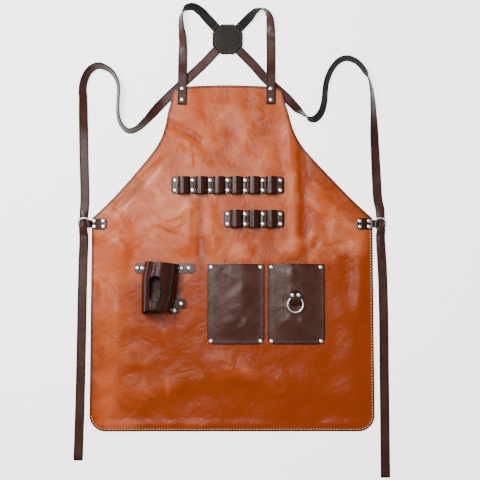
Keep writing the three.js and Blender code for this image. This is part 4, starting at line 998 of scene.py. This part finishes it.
HOLSTER_SECTION = (
    # across, rise
    (-0.43, 0), (-0.43, 0.06), (-0.46, 0.15), (-0.5, 0.33), (-0.47, 0.6), (-0.36, 0.84), (-0.2, 0.97),
    (-0.05, 1), (0.12, 0.96), (0.28, 0.83), (0.41, 0.6), (0.48, 0.33), (0.49, 0),
)
HOLSTER_WIDTH, HOLSTER_LENGTH, HOLSTER_HEIGHT = 73, 111, 46
HOLSTER_CENTRE = np.array([-154, 301])
HOLSTER_TAPER, HOLSTER_LEAN, HOLSTER_RIM_RISE, HOLSTER_RIM_SLANT = 11, 6, 7, 6
HOLSTER_TABS = (
    # inner, outer, middle, depth: shares of the width, the width, the length and the tab depth
    (-0.35, -0.73, 0.38, 1), (0.46, 1.03, 0.38, 1), (0.36, 0.78, -0.3, 0.95), (0.34, 0.53, -0.43, 0.65),
)
HOLSTER_TAB_DEPTH = 21
SLOT_HALF, SLOT_REACH = 11.5, 27.5
SLOT_CENTRE = HOLSTER_CENTRE + np.array([-0.09 * HOLSTER_WIDTH, -0.03 * HOLSTER_LENGTH])
SLOT_FLOOR, SLOT_TOP = 30, 80
HOLSTER_CREASE = 35
FRESH_CUT_RIM, FAR_RIM = 5, 9
PLATE_EDGE = (
    # inset from the outline, distance from the face
    (2.0, 0), (0.5, 0), (0.1, 0.3), (0, 0.7),
)


def holster_shell():
    thickness = mm("holster_thickness")
    wide, high = HOLSTER_WIDTH - thickness, HOLSTER_HEIGHT - thickness / 2
    line = through([(HOLSTER_CENTRE[0] + u * wide, TRIM_SEAT + w * high) for u, w in HOLSTER_SECTION], 7)
    normals = left_of(unit(np.gradient(line, axis=0)))
    along = spaced(HOLSTER_LENGTH, 3.5)
    share = along / HOLSTER_LENGTH
    across = (line[:, :1] - HOLSTER_CENTRE[0]) / HOLSTER_WIDTH + 0.5
    rise = (line[:, 1:] - TRIM_SEAT) / HOLSTER_HEIGHT
    slide = HOLSTER_RIM_RISE * rise * (1 - share) - HOLSTER_RIM_SLANT * across * share
    lean = across * ease(share / 0.35) + (1 - across) * ease((share - 0.65) / 0.35)
    x = line[:, :1] + HOLSTER_LEAN * lean - HOLSTER_TAPER * across * (1 - share)
    y = HOLSTER_CENTRE[1] - HOLSTER_LENGTH / 2 + along + slide
    centre = np.stack([x, y, line[:, 1:] + 0 * y], -1)
    normal = np.stack([normals[:, :1] + 0 * y, 0 * y, normals[:, 1:] + 0 * y], -1)
    return skin(centre, normal, thickness, np.minimum(along, HOLSTER_LENGTH - along) + 0 * y)


def level_rings(outline, rings):
    """Copies of an outline, stepped in and set at heights."""
    inward = left_of(unit(np.roll(outline, -1, axis=0) - np.roll(outline, 1, axis=0)))
    return np.stack([np.column_stack([outline + inward * inset, np.full(len(outline), z)])
                     for inset, z in rings])


def plate(outline, low, high):
    """A flat plate with round edges from its outline, which runs anticlockwise."""
    rings = [(inset, low + depth) for inset, depth in PLATE_EDGE]
    rings += [(inset, high - depth) for inset, depth in PLATE_EDGE[::-1]]
    rim = np.repeat([inset for inset, _ in rings], len(outline))
    return body(level_rings(outline, rings), {"rim": rim, "front": np.ones(len(rim))})


def rounded_outline(left, right, low, high, radius, steps=8):
    corners = ((right - radius, low + radius, -90), (right - radius, high - radius, 0),
               (left + radius, high - radius, 90), (left + radius, low + radius, 180))
    return np.array([(x + radius * math.cos(a), y + radius * math.sin(a)) for x, y, start in corners
                     for a in np.radians(np.linspace(start, start + 90, steps))])


def slot_outline():
    straight, foot = SLOT_REACH - SLOT_HALF, SLOT_REACH - SLOT_HALF * 0.45
    top = [(SLOT_HALF * math.cos(a), straight + SLOT_HALF * math.sin(a)) for a in np.linspace(0, math.pi, 20)]
    below = [(-SLOT_HALF, -straight), (-SLOT_HALF * 0.75, -foot), (0, 1 - SLOT_REACH),
             (SLOT_HALF * 0.75, -foot), (SLOT_HALF, -straight)]
    return np.array([*top, *through(below, 6)[:-1]]) + SLOT_CENTRE


def combined(piece, parts, operation):
    """Joins parts to a piece, or cuts them out of it."""
    tools = []
    for corners, faces, _ in parts:
        mesh = bpy.data.meshes.new("tool")
        mesh.from_pydata(((corners + HEM_MIDDLE) * MM).tolist(), [], [list(face) for face in faces])
        tools.append(bpy.data.objects.new("tool", mesh))
        bpy.context.scene.collection.objects.link(tools[-1])
        modifier = piece.modifiers.new("tool", "BOOLEAN")
        modifier.operation = operation
        modifier.solver = "EXACT"
        modifier.object = tools[-1]
    graph = bpy.context.evaluated_depsgraph_get()
    mesh = bpy.data.meshes.new_from_object(piece.evaluated_get(graph))
    piece.modifiers.clear()
    old = piece.data
    piece.data = mesh
    bpy.data.meshes.remove(old)
    for tool in tools:
        bpy.data.objects.remove(tool)


class APRON_OT_holster(bpy.types.Operator):
    """Make the hammer holster with its slot and tabs"""

    bl_idname = "apron.holster"
    bl_label = "Holster"

    def execute(self, context):
        piece = make("holster_leather", [holster_shell()], "trim_leather", ["holster"])
        outline = slot_outline()
        combined(piece, [body(level_rings(outline, ((0, SLOT_FLOOR), (0, SLOT_TOP))))], "DIFFERENCE")
        tabs = []
        for inner, outer, centre, depth in HOLSTER_TABS:
            left, right = sorted(HOLSTER_CENTRE[0] + share * HOLSTER_WIDTH for share in (inner, outer))
            y, half = HOLSTER_CENTRE[1] + centre * HOLSTER_LENGTH, depth * HOLSTER_TAB_DEPTH / 2
            shape = rounded_outline(left, right, y - half, y + half, min(half, (right - left) / 2) * 0.62)
            tabs.append(plate(shape, TRIM_SEAT, TRIM_SEAT + mm("holster_thickness")))
        combined(piece, tabs, "UNION")
        mesh = piece.data
        places = np.empty(len(mesh.vertices) * 3)
        mesh.vertices.foreach_get("co", places)
        x, y, z = (places.reshape(-1, 3) / MM - HEM_MIDDLE).T
        rim = np.empty(len(x), np.float32)
        mesh.attributes["rim"].data.foreach_get("value", rim)
        by_slot = np.minimum(np.where(rim > 0, rim, FAR_RIM), distance_to(outline, x, y))
        rim = np.where(z > SLOT_FLOOR, by_slot, np.where(rim > 0, rim, FRESH_CUT_RIM))
        mesh.attributes["rim"].data.foreach_set("value", rim.astype(np.float32))
        mesh.shade_smooth()
        mesh.set_sharp_from_angle(angle=math.radians(HOLSTER_CREASE))
        return {"FINISHED"}


# Pockets

POCKET_RIM, POCKET_RISE, POCKET_CORNER_RADIUS, POCKET_STEP = 5, 46, 16, 2.6
POCKET_DEPTH = {"left": 6.5, "right": 9}
POCKET_DENTS = {
    # across, along, angle, length, width, height: shares of the pocket, degrees and shares of its depth
    "left": ((-0.2, 0.62, 40, 0.4, 0.06, -0.14), (0.2, 0.42, 55, 0.35, 0.05, -0.16),
             (0.3, 0.36, 50, 0.25, 0.03, 0.14), (0.05, 0.8, -30, 0.3, 0.05, 0.1),
             (-0.1, 0.16, 10, 0.5, 0.05, 0.12), (-0.36, 0.9, 45, 0.14, 0.03, 0.2)),
    "right": ((-0.24, 0.62, 90, 0.7, 0.09, 0.2), (-0.14, 0.6, 90, 0.6, 0.03, -0.06),
              (0.25, 0.35, 70, 0.3, 0.06, -0.12), (0.2, 0.2, 20, 0.4, 0.05, 0.1),
              (-0.3, 0.2, 50, 0.24, 0.04, 0.12)),
}


def pocket_front(side, x, y):
    """The height of a pocket's underside."""
    low, high = box(f"pocket_{side}")
    width, length = high[0] - low[0], high[1] - low[1]
    centre = (low[0] + high[0]) / 2
    from_side, from_foot = width / 2 - np.abs(x - centre), y - low[1]
    full = ease((from_side - POCKET_RIM) / POCKET_RISE) * ease((from_foot - POCKET_RIM) / POCKET_RISE)
    dents = 0.16 * waves(1.9 * x + 40, 1.9 * y)
    for across, along, angle, reach, wide, height in POCKET_DENTS[side]:
        dx, dy = x - centre - across * width, from_foot - along * length
        dents = dents + height * ridge(dx, dy, angle, reach * length, wide * length)
    return low[2] + POCKET_DEPTH[side] * full * (1 + dents)


class APRON_OT_pockets(bpy.types.Operator):
    """Make the two patch pockets with their stitches"""

    bl_idname = "apron.pockets"
    bl_label = "Pockets"

    def execute(self, context):
        thickness, inset = mm("trim_thickness"), mm("stitch_inset")
        for side in ("left", "right"):
            low, high = box(f"pocket_{side}")
            width, centre = high[0] - low[0], (low[0] + high[0]) / 2
            ys = low[1] + spaced(high[1] - low[1], POCKET_STEP)
            half = width / 2 - corner_cut(ys - low[1], POCKET_CORNER_RADIUS)
            x = centre + (spaced(width, POCKET_STEP) / (width / 2) - 1) * half[:, None]
            y = np.broadcast_to(ys[:, None], x.shape)
            right, left = (np.column_stack([centre + out, ys]) for out in (half, -half))
            edge = np.vstack([right, left[::-1]])
            centres = np.stack([x, y, pocket_front(side, x, y) + thickness / 2], -1)
            part = skin(centres, UP, thickness, distance_to(edge, x, y))
            make(f"pocket_{side}_leather", [part], "pocket_leather", [f"pocket_{side}"])
            seam_x = np.concatenate([centre - half[::-1] + inset, centre + half - inset])
            seam_y = np.concatenate([ys[::-1], ys])
            kept = seam_y > low[1] + inset
            seam_x, seam_y = seam_x[kept], seam_y[kept]
            seam = np.stack([seam_x, seam_y, pocket_front(side, seam_x, seam_y) + thickness], -1)
            rivets = [box(f"rivet_{side}_pocket_{end}") for end in
                      ("lower_left", "upper_left", "lower_right", "upper_right")]
            stitches(f"pocket_{side}_stitches", [(seam, UP)], "trim_thread", STRAP_PITCH, rivets)
        return {"FINISHED"}


# Waist tabs, keeper and rings

WAIST_FOLD = (
    # out, over, under
    (-0.08, 0.36, 0.96), (0.11, 0.78, 0.98), (0.3, 1, 1), (0.51, 1, 1), (0.66, 0.6, 0.6), (0.75, 0, 0),
)
WAIST_TAB_HALF, WAIST_LOOP_HALF = 12, 8
WAIST_FOLD_START = 1.4
WAIST_LOOP_LEAN = 20
POCKET_RING_WIRE = 3.5


def tab_part(side):
    name = "right" if side > 0 else "left"
    low, high = box(f"waist_tab_{name}")
    ring_low, ring_high = box(f"waist_ring_{name}")
    thickness = mm("trim_thickness")
    radius = (ring_high[0] - ring_low[0] - RING_WIRE) / 2
    inner = min(abs(low[0]), abs(high[0]))
    height = (ring_low[2] + ring_high[2]) / 2
    reach = WAIST_LOOP_HALF * math.tan(math.radians(WAIST_LOOP_LEAN)) + RING_WIRE / 2 + GAP + thickness / 2
    upper = PANEL_SEAT + 1.5 * thickness + GAP * 2 + mm("panel_thickness")
    lower = PANEL_SEAT + thickness / 2
    start, edge = SKIRT_HALF + WAIST_FOLD_START, SKIRT_HALF - GAP
    over = [(start + out * radius, height + rise * reach) for out, rise, _ in WAIST_FOLD]
    under = [(start + out * radius, height - rise * reach) for out, _, rise in WAIST_FOLD]
    line = through([(inner, upper), (inner + 12, upper), (edge, upper), *over, *under[::-1][1:],
                    (edge, lower), (inner + 12, lower), (inner, lower)], 6)
    half = np.interp(line[:, 0], (inner, inner + 5, SKIRT_HALF - 4, SKIRT_HALF + GAP),
                     (WAIST_TAB_HALF * 0.6, WAIST_TAB_HALF, WAIST_TAB_HALF, WAIST_LOOP_HALF))
    if side < 0:
        line, half = line[::-1] * (-1, 1), half[::-1]
    return cross_sheet(line, half, thickness, (low[1] + high[1]) / 2)


def keeper_part():
    low, high = box("pocket_ring_keeper")
    thickness = mm("trim_thickness")
    bottom, top = low[2] + thickness / 2, high[2] - thickness / 2
    radius = (top - bottom) / 2
    foot = low[1] + radius + thickness / 2
    turn = [(foot + radius * math.cos(a), bottom + radius + radius * math.sin(a))
            for a in np.radians(np.linspace(-90, -270, 9))]
    line = through([(high[1], bottom), (foot + 8, bottom), *turn, (foot + 12, top),
                    (high[1] - 3, bottom + radius * 1.2), (high[1], bottom + thickness + GAP)], 5)
    half = (high[0] - low[0]) / 2 - np.interp(high[1] - line[:, 0], (0, 3), (3, 0))
    return cross_sheet(line, half, thickness, (low[0] + high[0]) / 2, swapped=True)


def ring_part(node, wire, tilt):
    low, high = box(node)
    radius = (high[0] - low[0] - wire) / 2
    around, about = (np.linspace(0, 2 * np.pi, count, endpoint=False) for count in (72, 18))
    reach = radius + wire / 2 * np.cos(about)
    x, y = reach * np.cos(around)[:, None], reach * np.sin(around)[:, None]
    rings = np.stack([x, *turned(y, wire / 2 * np.sin(about) + 0 * y, tilt)], -1) + (low + high) / 2
    corners = rings.reshape(-1, 3)
    return corners, quads(len(around) + 1, len(about))[:, ::-1] % len(corners), {}


class APRON_OT_tabs_and_rings(bpy.types.Operator):
    """Make the waist tabs, the pocket ring's keeper and the three rings"""

    bl_idname = "apron.tabs_and_rings"
    bl_label = "Tabs and rings"

    def execute(self, context):
        leathers = {"waist_tab_left": tab_part(-1), "waist_tab_right": tab_part(1),
                    "pocket_ring_keeper": keeper_part()}
        for node, part in leathers.items():
            make(f"{node}_leather", [part], "trim_leather", [node])
        for node, wire, tilt in (("waist_ring_left", RING_WIRE, WAIST_LOOP_LEAN),
                                 ("waist_ring_right", RING_WIRE, WAIST_LOOP_LEAN),
                                 ("pocket_ring", POCKET_RING_WIRE, 0)):
            make(f"{node}_metal", [ring_part(node, wire, tilt)], "nickel", [node], 80)
        return {"FINISHED"}


# Stage

CAMERA_PLACE = (0.01734, -0.20238, 2.23148)
CAMERA_TARGET = (0.01734, -0.00715, 0)
CAMERA_LENS = 78.6
LAMPS = (
    # name, place, target, width, length, power
    ("window", (-0.3, 0.4, 2.3), (-0.3, 0.4, 0), 0.56, 0.62, 19),
    ("slit", (-1.3, 0.35, 1.7), (-0.1, 0.35, 0), 1.0, 0.04, 6),
    ("key", (-1.0, 0.9, 1.5), (-0.1, 0.1, 0), 0.8, 0.8, 53),
    ("fill", (1.6, -1.2, 2.0), (0, 0, 0), 1.6, 1.6, 4),
)
FLOOR_REACH = 6
FLOOR_GLOW = 2.1
WORLD_STRENGTH = 0.31


def aimed(thing, place, target):
    thing.location = place
    thing.rotation_euler = (Vector(target) - Vector(place)).to_track_quat("-Z", "Y").to_euler()
    bpy.context.scene.collection.objects.link(thing)


class APRON_OT_stage(bpy.types.Operator):
    """Make the floor, the soft lamps and the camera"""

    bl_idname = "apron.stage"
    bl_label = "Stage"

    def execute(self, context):
        mesh = bpy.data.meshes.new("floor")
        corners = [(u * FLOOR_REACH, v * FLOOR_REACH, 0) for u, v in ((-1, -1), (1, -1), (1, 1), (-1, 1))]
        mesh.from_pydata(corners, [], [(0, 1, 2, 3)])
        finish = Finish("floor")
        paper = finish.mix(finish.noise(3), toned(colours().floor, 0.99), colours().floor)
        mesh.materials.append(finish.surface(base_color=paper, roughness=0.8, emission_color=(1, 1, 1),
                                             emission_strength=FLOOR_GLOW))
        floor = bpy.data.objects.new("floor", mesh)
        bpy.context.scene.collection.objects.link(floor)
        for name, place, target, width, length, power in LAMPS:
            lamp = bpy.data.lights.new(name, "AREA")
            lamp.shape = "RECTANGLE"
            lamp.size, lamp.size_y, lamp.energy = width, length, power
            aimed(bpy.data.objects.new(name, lamp), place, target)
        world = bpy.data.worlds.new("soft white")
        world.use_nodes = True
        light = world.node_tree.nodes["Background"].inputs
        light["Color"].default_value = (1, 1, 1, 1)
        light["Strength"].default_value = WORLD_STRENGTH
        context.scene.world = world
        camera = bpy.data.cameras.new("camera")
        camera.lens, camera.sensor_width = CAMERA_LENS, 36
        thing = bpy.data.objects.new("camera", camera)
        aimed(thing, CAMERA_PLACE, CAMERA_TARGET)
        context.scene.camera = thing
        return {"FINISHED"}


class APRON_PT_sidebar(bpy.types.Panel):
    """Lists the apron's sizes, colours and pieces"""

    bl_idname = "APRON_PT_sidebar"
    bl_label = "Leather apron"
    bl_space_type = "VIEW_3D"
    bl_region_type = "UI"
    bl_category = "Apron"

    def draw(self, context):
        for group in (sizes(), colours()):
            column = self.layout.column()
            for key in group.bl_rna.properties.keys():
                if key not in ("rna_type", "name"):
                    column.prop(group, key)
        for operator in OPERATORS:
            self.layout.operator(operator.bl_idname)


OPERATORS = (
    APRON_OT_stage, APRON_OT_panel, APRON_OT_straps, APRON_OT_patch, APRON_OT_tool_strips,
    APRON_OT_holster, APRON_OT_pockets, APRON_OT_tabs_and_rings, APRON_OT_rivets,
)
CLASSES = (ApronSizes, ApronColours, *OPERATORS, APRON_PT_sidebar)


def register():
    for cls in CLASSES:
        bpy.utils.register_class(cls)
    bpy.types.Scene.apron_sizes = bpy.props.PointerProperty(type=ApronSizes)
    bpy.types.Scene.apron_colours = bpy.props.PointerProperty(type=ApronColours)


def unregister():
    del bpy.types.Scene.apron_colours
    del bpy.types.Scene.apron_sizes
    for cls in reversed(CLASSES):
        bpy.utils.unregister_class(cls)


def main():
    register()
    bpy.ops.apron.stage()
    bpy.ops.apron.panel()
    bpy.ops.apron.straps()
    bpy.ops.apron.patch()
    bpy.ops.apron.tool_strips()
    bpy.ops.apron.holster()
    bpy.ops.apron.pockets()
    bpy.ops.apron.tabs_and_rings()
    bpy.ops.apron.rivets()


if __name__ == "__main__":
    main()
